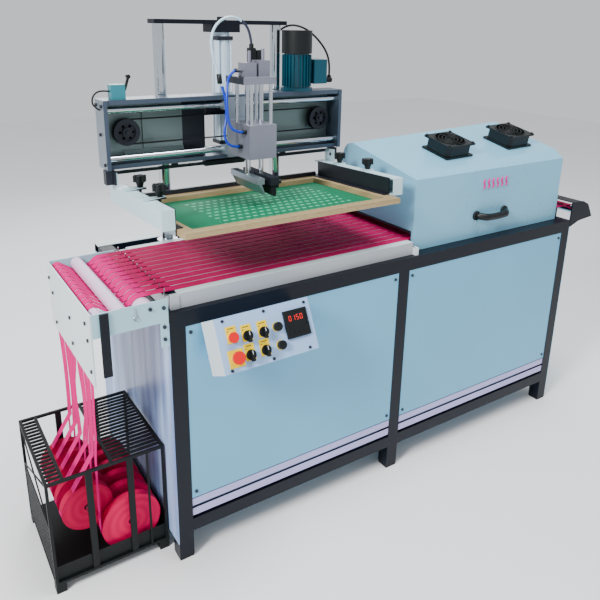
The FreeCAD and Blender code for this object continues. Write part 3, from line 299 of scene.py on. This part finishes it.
LOOK = {
    "panel": painted("panel_blue", (0.14, 0.42, 0.62), 0.36, dirt=0.08),
    "hood": painted("hood_blue", (0.20, 0.47, 0.64), 0.30, dirt=0.06),
    "console": painted("console_blue", (0.30, 0.46, 0.72), 0.36, dirt=0.06),
    "black": painted("frame_black", (0.003, 0.005, 0.011), 0.42, dirt=0.3, shine=0.22),
    "crate": painted("crate_black", (0.004, 0.006, 0.007), 0.5, dirt=0.5, shine=0.2),
    "white": painted("bed_white", (0.62, 0.70, 0.74), 0.36, dirt=0.10),
    "infeed": painted("infeed_pale", (0.34, 0.58, 0.66), 0.36, dirt=0.08),
    "grey": painted("grey_and_skirt_shade", (0.44, 0.47, 0.50), 0.45, dirt=0.16),
    "lavender": painted("kick_lavender", (0.44, 0.42, 0.72), 0.4, dirt=0.08),
    "teal": painted("motor_teal", (0.002, 0.060, 0.095), 0.3, dirt=0.25, shine=0.4),
    "sensor": painted("sensor_teal", (0.02, 0.20, 0.25), 0.3, dirt=0.2),
    "arm": painted("arm_white", (0.48, 0.66, 0.72), 0.35, dirt=0.08),
    "yellow": painted("legend_yellow", (0.86, 0.60, 0.0), 0.45, dirt=0.12, shine=0.3),
    "red": painted("button_red", (0.66, 0.004, 0.006), 0.3, dirt=0.08, shine=0.3),
    "plastic": painted("black_plastic", (0.005, 0.007, 0.008), 0.42, peel=0.12, dirt=0.3, shine=0.3),
    "keys": painted("key_strip", (0.10, 0.13, 0.18), 0.5, dirt=0.1),
    "rubber": painted("rubber", (0.006, 0.007, 0.009), 0.6, peel=0.2, dirt=0.3, shine=0.3),
    "hose": painted("hose_blue", (0.002, 0.030, 0.42), 0.25, dirt=0.15),
    "magenta": painted("sign_magenta", (0.72, 0.002, 0.26), 0.5, dirt=0.1, shine=0.2),
    "aluminium": brushed("aluminium", (0.34, 0.40, 0.46), 0.36, metal=0.85),
    "beam": brushed("beam_blue_grey", (0.075, 0.105, 0.15), 0.36, metal=0.6),
    "back": brushed("back_plate", (0.20, 0.27, 0.27), 0.42, metal=0.6),
    "block": brushed("block_grey", (0.24, 0.25, 0.31), 0.42, grain=(300.0, 300.0, 60.0), metal=0.55),
    "steel": brushed("steel", (0.48, 0.50, 0.54), 0.30),
    "chrome": brushed("chrome", (0.72, 0.77, 0.82), 0.12, grain=(400.0, 400.0, 4.0)),
    "barrel": painted("barrel_white", (0.52, 0.66, 0.78), 0.2, peel=0.02, dirt=0.08),
    "dark": brushed("dark_steel", (0.016, 0.020, 0.030), 0.4, metal=0.4),
    "screws": brushed("screw_heads", (0.03, 0.035, 0.05), 0.35, metal=0.6),
}
print("finishes", len(LOOK))

# %% [markdown]
# The left end keeps its protective film. Film sticks unevenly and pulls into long upright
# ripples, so its bump is noise stretched along the height. Its colour swings between dark
# and light blue along the same ripples, a painted sheen.

# %% Film, wood, mesh and tape
def film():
    p = Paint("film_on_panel")
    ripple_and_sheen = p.noise(1.0, 3.0, source=p.stretch(30.0, 26.0, 1.6))
    fine = p.noise(1.0, 2.0, source=p.stretch(90.0, 90.0, 6.0))
    # dark and light blue stripes along the ripples: painted sheen on the film
    base = p.mix((ripple_and_sheen * 2.4 - 0.7).clamp(), (0.13, 0.20, 0.46), (0.38, 0.54, 0.80))
    p.bump(ripple_and_sheen + fine * 0.3, 0.55, 0.004)
    return p.set(Base_Color=base, Roughness=0.24 + fine * 0.2)


def planed_wood():
    p = Paint("planed_wood")
    x, y, z = p.xyz()
    bend = p.noise(5.0, 3.0) * 0.35
    rings = ((y * 60.0 + z * 90.0 + bend * 9.0 + x * 2.0).wave() * 0.5 + 0.5)
    pores = p.noise(1.0, 4.0, source=p.stretch(60.0, 500.0, 500.0))
    base = p.mix(rings * 0.6, (0.34, 0.25, 0.12), (0.20, 0.135, 0.06))
    base = p.mix((pores * 2.0 - 0.9).clamp(), base, (0.46, 0.36, 0.20))
    p.bump(rings * 0.4 + pores, 0.25, 0.0006)
    return p.set(Base_Color=base, Roughness=0.55 + pores * 0.15)


def stencil_mesh():
    """Green emulsion with rows of small pale dashes where the mesh is open."""
    p = Paint("stencil_mesh")
    x, y, z = p.xyz()
    row = (y * (1000.0 / 34.0) + 0.22).part()
    dash = (x * (1000.0 / 24.0) + (y * (1000.0 / 34.0) + 0.22).whole() * 0.37).part()
    inside = (row > 0.30) * (row < 0.62) * (dash < 0.55)
    field = (x > ORIGIN.x + 0.20) * (x < ORIGIN.x + 0.66) * (y > ORIGIN.y + 0.07) * (y < ORIGIN.y + 0.36)
    weave = (x * 5200.0).wave() * (y * 5200.0).wave()
    cloud = p.noise(6.0, 4.0)
    green = p.mix((cloud * 1.6 - 0.3).clamp(), (0.0, 0.115, 0.050), (0.001, 0.165, 0.075))
    base = p.mix((inside * field * (0.45 + cloud * 0.5)).clamp(), green, (0.10, 0.50, 0.30))
    p.bump(weave, 0.2, 0.0002)
    return p.set(Base_Color=base, Roughness=0.55 + cloud * 0.2, Specular_IOR_Level=0.2)


def woven_tape(name, colour, shaded_on_table):
    """Ribs across the tape, a darker pink over the table as painted shade and the tape's own pink where it
    hangs left of the table.
    """
    p = Paint(name)
    ribs = p.node("ShaderNodeUVMap", pick=0)
    u, v, w = p.xyz(ribs)
    rib = (v * 2600.0).wave() * 0.5 + 0.5
    warp = (u * 160.0).wave() * 0.5 + 0.5
    cloud = p.noise(14.0, 4.0)
    x, y, z = p.xyz()
    # left of the table edge the tape keeps its own pink; over the table it takes a darker copy, painted
    # shade
    over = ((ORIGIN.x - x) * 60.0 - 1.6).clamp()
    hue = p.mix(over, shaded_on_table, colour)
    base = p.mix(rib * 0.35 + warp * 0.15, hue, p.mix(over, shade(shaded_on_table, 0.55), shade(colour, 0.6)))
    base = p.mix((cloud * 1.2 - 0.6).clamp(), base, shade(colour, 1.2))
    p.bump(rib + warp * 0.5, 0.4, 0.0003)
    return p.set(Base_Color=base, Roughness=0.62 + cloud * 0.18, Specular_IOR_Level=0.08)


def wound_reel(name, centre, colour):
    """The edge of a wound tape shows every turn as a fine ring."""
    p = Paint(name)
    x, y, z = p.xyz()
    dx, dz = x - centre.x, z - centre.z
    r = (dx * dx + dz * dz).root()
    turn = (r * 4200.0).wave() * 0.5 + 0.5
    band = (r * 260.0 + p.noise(7.0, 2.0) * 5.0).wave() * 0.5 + 0.5
    base = p.mix(turn * 0.2 + band * 0.3, colour, shade(colour, 0.5))
    base = p.mix(r < 0.010, base, (0.03, 0.0, 0.01))
    p.bump(turn + band * 0.4, 0.35, 0.0004)
    return p.set(Base_Color=base, Roughness=0.6 + band * 0.12, Specular_IOR_Level=0.1)


def three_hoses():
    """Black where it leaves the tower, clear over the top, blue below the connector."""
    p = Paint("hose_three")
    x, y, z = p.xyz()
    ribs = (z * 1500.0 + x * 1500.0).wave() * 0.5 + 0.5
    haze = p.noise(30.0, 3.0)
    clear = p.mix(haze, (0.30, 0.46, 0.60), (0.62, 0.78, 0.88))
    base = p.mix(z < ORIGIN.z + 1.345, clear, (0.002, 0.030, 0.42))
    tower = x > ORIGIN.x + 0.385
    base = p.mix(tower, base, p.mix(ribs, (0.004, 0.006, 0.02), (0.02, 0.03, 0.07)))
    p.bump(ribs * tower, 0.8, 0.001)
    return p.set(Base_Color=base, Roughness=0.18 + tower * 0.25 + haze * 0.1)


LOOK["hose_b"] = three_hoses()
LOOK["film"] = film()
LOOK["wood"] = planed_wood()
LOOK["mesh"] = stencil_mesh()
# the second colour is the tape's pink darkened, painted shade for the part over the table
LOOK["tape"] = woven_tape("tape_pink", (0.66, 0.0, 0.17), (0.50, 0.0, 0.095))
LOOK["reel_a"] = wound_reel("reel_front", at(-108, 0, 128), (0.72, 0.0, 0.085))
LOOK["reel_b"] = wound_reel("reel_rear", at(-222, 0, 208), (0.52, 0.0, 0.06))
LOOK["wrap"] = painted("roller_cover", (0.70, 0.52, 0.72), 0.4, peel=0.2, dirt=0.12)


def lit(name, colour, strength):
    p = Paint(name)
    glow = p.noise(60.0, 2.0)
    return p.set(Base_Color=shade(colour, 0.5), Emission_Color=p.mix(glow * 0.2, colour, shade(colour, 0.8)),
                 Emission_Strength=strength, Roughness=0.3 + glow * 0.1)


LOOK["digits"] = lit("digits_red", (1.0, 0.02, 0.01), 1.6)
LOOK["quartz"] = lit("quartz_tube", (1.0, 0.62, 0.35), 0.15)
print("all finishes", len(LOOK))

# %% [markdown]
# ## Finishes on the CAD nodes
#
# A node can hold pieces of different colours, and some faces take white as painted light and
# others grey as painted shade. The faces are told apart by where each face lies, in millimetres from the
# table's corner.

# %% Assign
def finish(node, main, *rules):
    """main everywhere, then each (finish, test) where test(x, y, z) is true of a face."""
    piece = nodes[node]
    names = [main] + [rule[0] for rule in rules]
    piece.data.materials.clear()
    for name in names:
        piece.data.materials.append(LOOK[name])
    counts = [0] * len(names)
    for face in piece.data.polygons:
        x, y, z = (face.center - ORIGIN) * 1000
        face.material_index = 0
        for k, (name, test) in enumerate(rules, 1):
            if test(x, y, z):
                face.material_index = k
        counts[face.material_index] += 1
    return counts


finish("table_frame", "black")
finish("foot_pads", "rubber")
finish("table_panels", "panel", ("lavender", lambda x, y, z: z < 202 and y < 10),
       ("white", lambda x, y, z: z > 799), ("dark", lambda x, y, z: y > 659.5 and z < 300))
finish("left_end_panel", "film")
# the white bed sheet's front skirt and its strip left of 39.5 mm are painted grey: painted shade on the one
# folded sheet
finish("bed_plates", "white", ("grey", lambda x, y, z: y < 24 and z < 838 and x < 866),
       ("grey", lambda x, y, z: x < 39.5), ("steel", lambda x, y, z: x < 14.5),
       ("black", lambda x, y, z: x > 1560),
       ("dark", lambda x, y, z: x > 866 and 20 < y < 440))
# the far left end plates (x at most -197.5 mm) keep white, painted light on the side facing the key light;
# the rest of the infeed brackets are pale blue
finish("roller_brackets", "white", ("infeed", lambda x, y, z: x > -197.5),
       ("black", lambda x, y, z: -180 < x < -156 and y < -2.1),
       ("black", lambda x, y, z: x > 1600), ("steel", lambda x, y, z: -100 < x < -76 and y < -2.1),
       ("chrome", lambda x, y, z: -190 < x < -40 and 3 < y < 427 and z > 800))
finish("fasteners", "screws")
finish("reel_crate", "crate", ("steel", lambda x, y, z: 82 < y < 406 and (
    math.hypot(x + 108, z - 128) < 7 or math.hypot(x + 222, z - 208) < 7)))
finish("lift_frame", "chrome", ("black", lambda x, y, z: z > 1493 or z < 813),
       ("steel", lambda x, y, z: 813 < z < 833))
finish("lift_cylinder", "barrel", ("dark", lambda x, y, z: z < 1151 or z > 1469))
# the console's left side (x below 88.5 mm) takes white: painted light on the side facing the key light
finish("console_case", "console", ("white", lambda x, y, z: x < 88.5))
finish("control_plates", "yellow")
finish("temperature_controller", "plastic")
finish("electrical_box", "grey")
finish("hood_hinges", "steel")
finish("hood_shell", "hood", ("dark", lambda x, y, z: x < 879.9),
       ("steel", lambda x, y, z: y > 440.5))
finish("hood_handle", "plastic")
finish("heater_unit", "steel", ("quartz", lambda x, y, z: 935 < z < 950 and 73 < y < 412))
finish("fan_frames", "plastic")
for k in (1, 2):
    finish("fan_impeller_%d" % k, "plastic")
    finish("speed_knob_%d" % k, "plastic")
for k in (1, 2, 3, 4):
    finish("clamp_knob_%d" % k, "plastic")
    finish("selector_%d" % k, "plastic")
finish("beam_frame", "beam", ("back", lambda x, y, z: 1118 < z < 1292 and y > 440 and 20 < x < 800),
       ("aluminium", lambda x, y, z: x < -16.5))
finish("carriage_rails", "chrome")
finish("head_mounts", "dark", ("chrome", lambda x, y, z: z > 1126 and abs(x - 412) < 28 and y > 466),
       ("dark", lambda x, y, z: y < 464))
finish("drive_belt", "rubber")
finish("drive_motor", "teal", ("plastic", lambda x, y, z: z > 1428 or x > 762.5))
finish("limit_switch", "sensor", ("plastic", lambda x, y, z: x > 56.5))
finish("left_pulley", "dark")
finish("right_pulley", "dark")
finish("carriage_slide", "aluminium")
finish("carriage_block", "block", ("chrome", lambda x, y, z: 1234 < z < 1351),
       ("plastic", lambda x, y, z: y > 297 and z > 1373), ("dark", lambda x, y, z: x < 359))
finish("squeegee", "dark", ("rubber", lambda x, y, z: z < 1052), ("chrome", lambda x, y, z: z > 1077))
finish("flood_bar", "aluminium", ("chrome", lambda x, y, z: z > 1077))
finish("screen_arms", "arm", ("dark", lambda x, y, z: 42.5 < x < 66 or 738 < x < 761.5),
       ("dark", lambda x, y, z: y > 435 and 45 < x < 759))
finish("screen_frame", "wood")
finish("feed_roller", "wrap")
finish("idler_roller", "wrap")
finish("wrap_roller", "wrap")
finish("outfeed_roller", "chrome")
finish("front_reels", "reel_a")
finish("rear_reels", "reel_b")
finish("start_button", "red")
finish("stop_button", "red")
for name, look in (("motor_cable", "rubber"), ("switch_lead", "rubber"), ("air_hose_a", "hose"),
                   ("air_hose_b", "hose_b")):
    cords[name].data.materials.append(LOOK[look])
print("finished nodes", sum(1 for n in nodes.values() if n.data.materials))

# %% [markdown]
# ## Building small pieces
#
# Every added piece is a mesh made from points, with its own finish, riding on a CAD body.

# %% Mesh helper
def mesh_piece(name, points, faces, look, body, uvs=None, smooth=False):
    data = bpy.data.meshes.new(name)
    data.from_pydata([tuple(p) for p in points], [], faces)
    data.validate()
    if uvs:
        layer = data.uv_layers.new(name="UVMap")
        for loop in data.loops:
            layer.data[loop.index].uv = uvs[loop.vertex_index]
    data.polygons.foreach_set("use_smooth", [smooth] * len(data.polygons))
    data.materials.append(LOOK[look])
    piece = bpy.data.objects.new(name, data)
    bpy.context.collection.objects.link(piece)
    if body:
        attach(piece, body)
    return piece


def sweep(outline, sections):
    """Joins rings of points into a closed skin; sections are lists as long as the outline."""
    n = len(outline)
    points = [p for ring in sections for p in ring]
    faces = []
    for s in range(len(sections) - 1):
        for k in range(n):
            a, b = s * n + k, s * n + (k + 1) % n
            faces.append((a, b, b + n, a + n))
    faces.append(tuple(range(n - 1, -1, -1)))
    faces.append(tuple(range(len(points) - n, len(points))))
    return points, faces


# %% [markdown]
# ## Eleven tapes
#
# Each tape is one ribbon from its reel to the outlet. Its side view is a list of straight
# runs and arcs round the rollers. Below the rollers the slack makes it curl along its
# length, so its section is a shallow arc there and flat on the bed.

# %% Tape path
TAPE_T, LANE_Y, PITCH = 0.7, 65.0, 34.0
WIDE, NARROW = 29.0, 24.4
# Where each tape is gathered, half way down: Y, and how far it stands off its neighbours.
GATHER = {0: (80, 0), 1: (104, 1.2), 2: (128, 0), 3: (151, 1.2), 4: (174, 0), 5: (284, 0),
          6: (290, 1.5), 7: (298, 3.0), 8: (304, 4.5), 9: (372, 0), 10: (384, 1.5)}


def arc(cx, cz, r, a0, a1, n):
    return [(cx + r * math.cos(math.radians(a0 + (a1 - a0) * k / n)),
             cz + r * math.sin(math.radians(a0 + (a1 - a0) * k / n))) for k in range(n + 1)]


def straight(p, q, n):
    return [(p[0] + (q[0] - p[0]) * k / n, p[1] + (q[1] - p[1]) * k / n) for k in range(n + 1)]


def ease(t):
    t = min(1.0, max(0.0, t))
    return t * t * (3.0 - 2.0 * t)


def tape_line(i):
    """Side view of tape i as (x, z, y of its middle, width, curl)."""
    reel, radius = (((-108, 128), 87.0), ((-222, 208), 72.0))[i % 2]
    lane, slot = LANE_Y + PITCH * i, 104.0 + 29.0 * i
    waist, stand = GATHER[i]
    foot = (reel[0] - radius - 2.0, reel[1] + 2.0)
    line = []
    for x, z in straight(foot, (-193.0, 370.0), 16) + straight((-193.0, 370.0), (-193.0, 650.0), 40)[1:]:
        down, above = ease((z - 350.0) / 130.0), ease((z - 500.0) / 140.0)
        y = slot + (waist - slot) * down + (lane - waist) * above
        gathered = down * (1.0 - above)
        width = NARROW + (WIDE - NARROW) * above
        line.append((x - stand * gathered, z, y, width, 0.10 + 0.45 * gathered * (i > 4)))
    line += [(x, z, lane, WIDE, 0.0) for x, z in straight((-193.0, 655.0), (-193.0, 828.0), 12)]
    line += [(x, z, lane, WIDE, 0.0) for x, z in arc(-178, 828, 15.0, 172, 62, 12)]
    line += [(x, z, lane, WIDE, 0.0) for x, z in arc(-120, 828, 19.0, 232, 310, 12)]
    line += [(x, z, lane, WIDE, 0.0) for x, z in arc(-55, 814.5, 28.2, 150, 92, 12)]
    line += [(x, z, lane, WIDE, 0.0) for x, z in straight((-40.0, 842.75), (1750.0, 842.75), 60)]
    line += [(x, z, lane, WIDE, 0.0) for x, z in arc(1752, 826, 16.8, 80, 10, 8)]
    return line


def ribbon(name, line):
    """A thin closed strip that follows line, curled across its width where asked."""
    across = 8
    sections, uvs, run = [], [], 0.0
    for k, (x, z, y, width, curl) in enumerate(line):
        a, b = line[max(0, k - 1)], line[min(len(line) - 1, k + 1)]
        tangent = Vector((b[0] - a[0], 0.0, b[1] - a[1])).normalized()
        normal = Vector((-tangent.z, 0.0, tangent.x))
        if k:
            run += math.dist(line[k - 1][:3], (x, z, y))
        bend = math.radians(150.0) * curl + 1e-3
        radius = width / bend
        ring = []
        for side, off in ((1, 0.0), (-1, TAPE_T)):
            steps = range(across + 1) if side > 0 else range(across, -1, -1)
            for s in steps:
                t = (s / across - 0.5) * bend
                dy, dn = radius * math.sin(t), radius * (1 - math.cos(t))
                ring.append(at(x, y + dy, z) + normal * ((off - dn) / 1000))
                uvs.append((s / across, run / 1000))
        sections.append(ring)
    points, faces = sweep(sections[0], sections)
    tape = mesh_piece(name, points, faces, "tape", "machine", uvs=uvs, smooth=True)
    return tape, run / 1000


for i in range(11):
    tape, length = ribbon("tape_%02d" % (i + 1), tape_line(i))
    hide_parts("tape_webs", "hanging_tapes")
print("tape length about", round(length, 3), "m")

# %% [markdown]
# ## The screen's mesh
#
# The mesh is glued to the underside of the wooden frame and pulled flat. It is a fine grid
# of quads between the frame's inner edges, following the frame's tilt.

# %% Mesh
def tilted(x, y, z):
    """A point drawn with the screen level, turned to its rest tilt about the arm pivot."""
    a = math.radians(2.6)
    dy, dz = y - 402.0, z - 1078.0
    return at(x, 402.0 + dy * math.cos(a) + dz * math.sin(a), 1078.0 - dy * math.sin(a) + dz * math.cos(a))


def screen_sheet():
    xs = [66 + (738 - 66) * k / 40 for k in range(41)]
    ys = [-12 + (436 + 12) * k / 28 for k in range(29)]
    layers = []
    for z in (981.9, 981.0):
        layers.append([tilted(x, y, z) for y in ys for x in xs])
    points, faces, nx, ny = layers[0] + layers[1], [], len(xs), len(ys)
    base = nx * ny
    for j in range(ny - 1):
        for i in range(nx - 1):
            a = j * nx + i
            faces += [(a, a + 1, a + 1 + nx, a + nx),
                      (base + a, base + a + nx, base + a + 1 + nx, base + a + 1)]
    rim = ([i for i in range(nx)] + [j * nx + nx - 1 for j in range(1, ny)]
           + [(ny - 1) * nx + i for i in range(nx - 2, -1, -1)] + [j * nx for j in range(ny - 2, 0, -1)])
    faces += [(base + a, base + b, b, a) for a, b in zip(rim, rim[1:] + rim[:1])]
    piece = mesh_piece("screen_cloth", points, faces, "mesh", "screen")
    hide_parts("screen_mesh")
    return piece


screen_sheet()
print("mesh done")

# %% [markdown]
# ## Trim on the console
#
# The controller shows a number in seven-segment digits, made as thin raised bars. Small
# bars stand in for the printed legends: a line where a word would be, and no lettering.

# %% Console
LEAN = math.radians(27.0)
CONSOLE_UP = Vector((0, math.sin(LEAN), math.cos(LEAN)))
CONSOLE_OUT = Vector((0, -math.cos(LEAN), math.sin(LEAN)))


def on_console(u, w, t):
    return at(88 + u, -78, 795) - CONSOLE_UP * (w / 1000) + CONSOLE_OUT * (t / 1000)


def slab(name, u0, u1, w0, w1, t0, t1, look, bevel=0.3):
    """A low bevelled block lying on the console's face."""
    rings = []
    for t, inset in ((t0, 0.0), (t1 - bevel, 0.0), (t1, bevel)):
        rings.append([on_console(u, w, t) for u, w in ((u0 + inset, w1 - inset), (u1 - inset, w1 - inset),
                                                       (u1 - inset, w0 + inset), (u0 + inset, w0 + inset))])
    points, faces = sweep(rings[0], rings)
    return mesh_piece(name, points, faces, look, "machine")


SEGMENTS = {"0": "abcdef", "1": "bc", "5": "afgcd"}


def digit(name, text, u, w, size, look):
    thick = size * 0.17
    places = {"a": (0, 0, 1, 0), "g": (0, 1, 1, 0), "d": (0, 2, 1, 0), "f": (0, 0, 0, 1),
              "b": (1, 0, 0, 1), "e": (0, 1, 0, 1), "c": (1, 1, 0, 1)}
    for s in SEGMENTS[text]:
        cx, cy, flat, upright = places[s]
        x, y = u + cx * size, w + cy * size
        if flat:
            slab(name + s, x + 0.3, x + size - 0.3, y - thick / 2, y + thick / 2, 4.6, 5.0, look, 0.1)
        else:
            slab(name + s, x - thick / 2, x + thick / 2, y + 0.3, y + size - 0.3, 4.6, 5.0, look, 0.1)


for k, text in enumerate("0150"):
    digit("digit_%d_" % k, text, 215 + 12.0 * k, 40, 6.5, "digits")
slab("key_strip", 206, 271, 78, 93, 4.4, 4.8, "keys")
for k in range(5):
    slab("key_mark_%d" % k, 211 + 12 * k, 216 + 12 * k, 84, 87, 4.7, 5.1, "white", 0.1)
for k, (u, w) in enumerate(((84, 61), (132, 62), (81, 111), (127, 110), (41, 56))):
    slab("legend_line_%d" % k, u - 9, u + 9, w - 25, w - 23, 1.2, 1.5, "plastic", 0.1)
    slab("legend_mark_%d" % k, u - 11, u - 8, w - 19, w - 16, 1.2, 1.5, "plastic", 0.1)
for k, (u, w) in enumerate(((84, 61), (132, 62), (81, 111), (127, 110))):
    slab("pointer_%d" % k, u - 0.8, u + 0.8, w - 11, w - 1, 19.0, 19.3, "white", 0.1)
print("console trim done")

# %% [markdown]
# ## Trim on the hood and the crate
#
# The plate on the hood carries a generic heat sign: three wavy strokes. The crate's left
# side is stiffened with two crossed wires. A black bow handle replaces the CAD's square one.

# %% Strokes and wires
def tube(name, route, radius, look, body, sides=10):
    """A round wire through the points, with its rings kept square to the path."""
    rings = []
    for k, p in enumerate(route):
        a, b = route[max(0, k - 1)], route[min(len(route) - 1, k + 1)]
        axis = (b - a).normalized()
        side = axis.cross(Vector((0, 0, 1)) if abs(axis.z) < 0.9 else Vector((0, 1, 0))).normalized()
        other = axis.cross(side)
        rings.append([p + (side * math.cos(2 * math.pi * s / sides)
                           + other * math.sin(2 * math.pi * s / sides)) * radius for s in range(sides)])
    points, faces = sweep(rings[0], rings)
    return mesh_piece(name, points, faces, look, body, smooth=True)


for k in range(6):
    wave = [at(1204 + 23 * k + 4 * s / 12 + 4 * math.sin(s / 12 * 2 * math.pi), 40.4, 978 + 32 * s / 12)
            for s in range(13)]
    tube("heat_wave_%d" % k, wave, 0.0034, "magenta", "hood", 8)
left = -334.0
for k, (z0, z1) in enumerate(((352, 214), (214, 352))):
    tube("crate_wire_%d" % k, [at(left, 82, z0), at(left, 405, z1)], 0.0022, "crate", "machine")

bow = []
for s in range(25):
    t = s / 24
    lift = 30 * min(1.0, 6 * min(t, 1 - t)) ** 0.6
    bow.append(at(1180 + 146 * t, 42 - lift, 883 - 5 * math.sin(math.pi * t)))
handle = tube("bow_handle", bow, 0.0125, "plastic", "hood", 14)
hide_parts("hood_handle")
for k, x in enumerate((1180, 1326)):
    foot = [at(x, 42 - d, 883) for d in (0.0, 3.0, 6.0)]
    tube("handle_foot_%d" % k, foot, 0.017, "plastic", "hood", 18)
collar = [at(302 + 1.3 * k, 291 - 0.7 * k, 1366 - 14 * k) for k in (-1, 0, 1)]
tube("hose_connector", collar, 0.0075, "plastic", "carriage", 14)
print("hood and crate trim done")

# %% [markdown]
# ## Studio
#
# A pale floor, a white surround and three soft lights. The strongest light is high on the
# left, so the beam's rails and the columns catch long highlights.

# %% Floor and lights
def floor():
    p = Paint("studio_floor")
    dust = p.noise(2.0, 4.0)
    look = p.set(Base_Color=p.mix(dust, (0.86, 0.87, 0.88), (0.90, 0.90, 0.91)), Roughness=0.6 + dust * 0.1)
    data = bpy.data.meshes.new("floor")
    corners = [(-9.0, -9.0), (9.0, -9.0), (9.0, 9.0), (-9.0, 9.0)]
    data.from_pydata([(x, y, -0.0006) for x, y in corners], [], [(0, 1, 2, 3)])
    data.materials.append(look)
    piece = bpy.data.objects.new("floor", data)
    bpy.context.collection.objects.link(piece)


def lamp(name, place, target, size, power, colour=(1, 1, 1)):
    data = bpy.data.lights.new(name, "AREA")
    data.shape, data.size, data.energy, data.color = "DISK", size, power, colour
    light = bpy.data.objects.new(name, data)
    light.location = place
    light.rotation_euler = (Vector(target) - Vector(place)).to_track_quat("-Z", "Y").to_euler()
    bpy.context.collection.objects.link(light)


floor()
lamp("key", (-4.2, -1.6, 3.6), (0, 0, 0.8), 1.4, 330.0, (1.0, 0.99, 0.97))
lamp("top", (0.3, -0.6, 4.2), (0.1, 0, 0.9), 1.8, 120.0, (0.97, 0.99, 1.0))
lamp("rim", (0.5, 3.2, 2.6), (0, 0, 1.0), 2.0, 50.0, (0.95, 0.98, 1.0))
world = bpy.data.worlds.new("studio") if bpy.context.scene.world is None else bpy.context.scene.world
bpy.context.scene.world = world
world.use_nodes = True
world.node_tree.nodes["Background"].inputs["Color"].default_value = (0.93, 0.96, 1.0, 1.0)
world.node_tree.nodes["Background"].inputs["Strength"].default_value = 0.80
print("studio done")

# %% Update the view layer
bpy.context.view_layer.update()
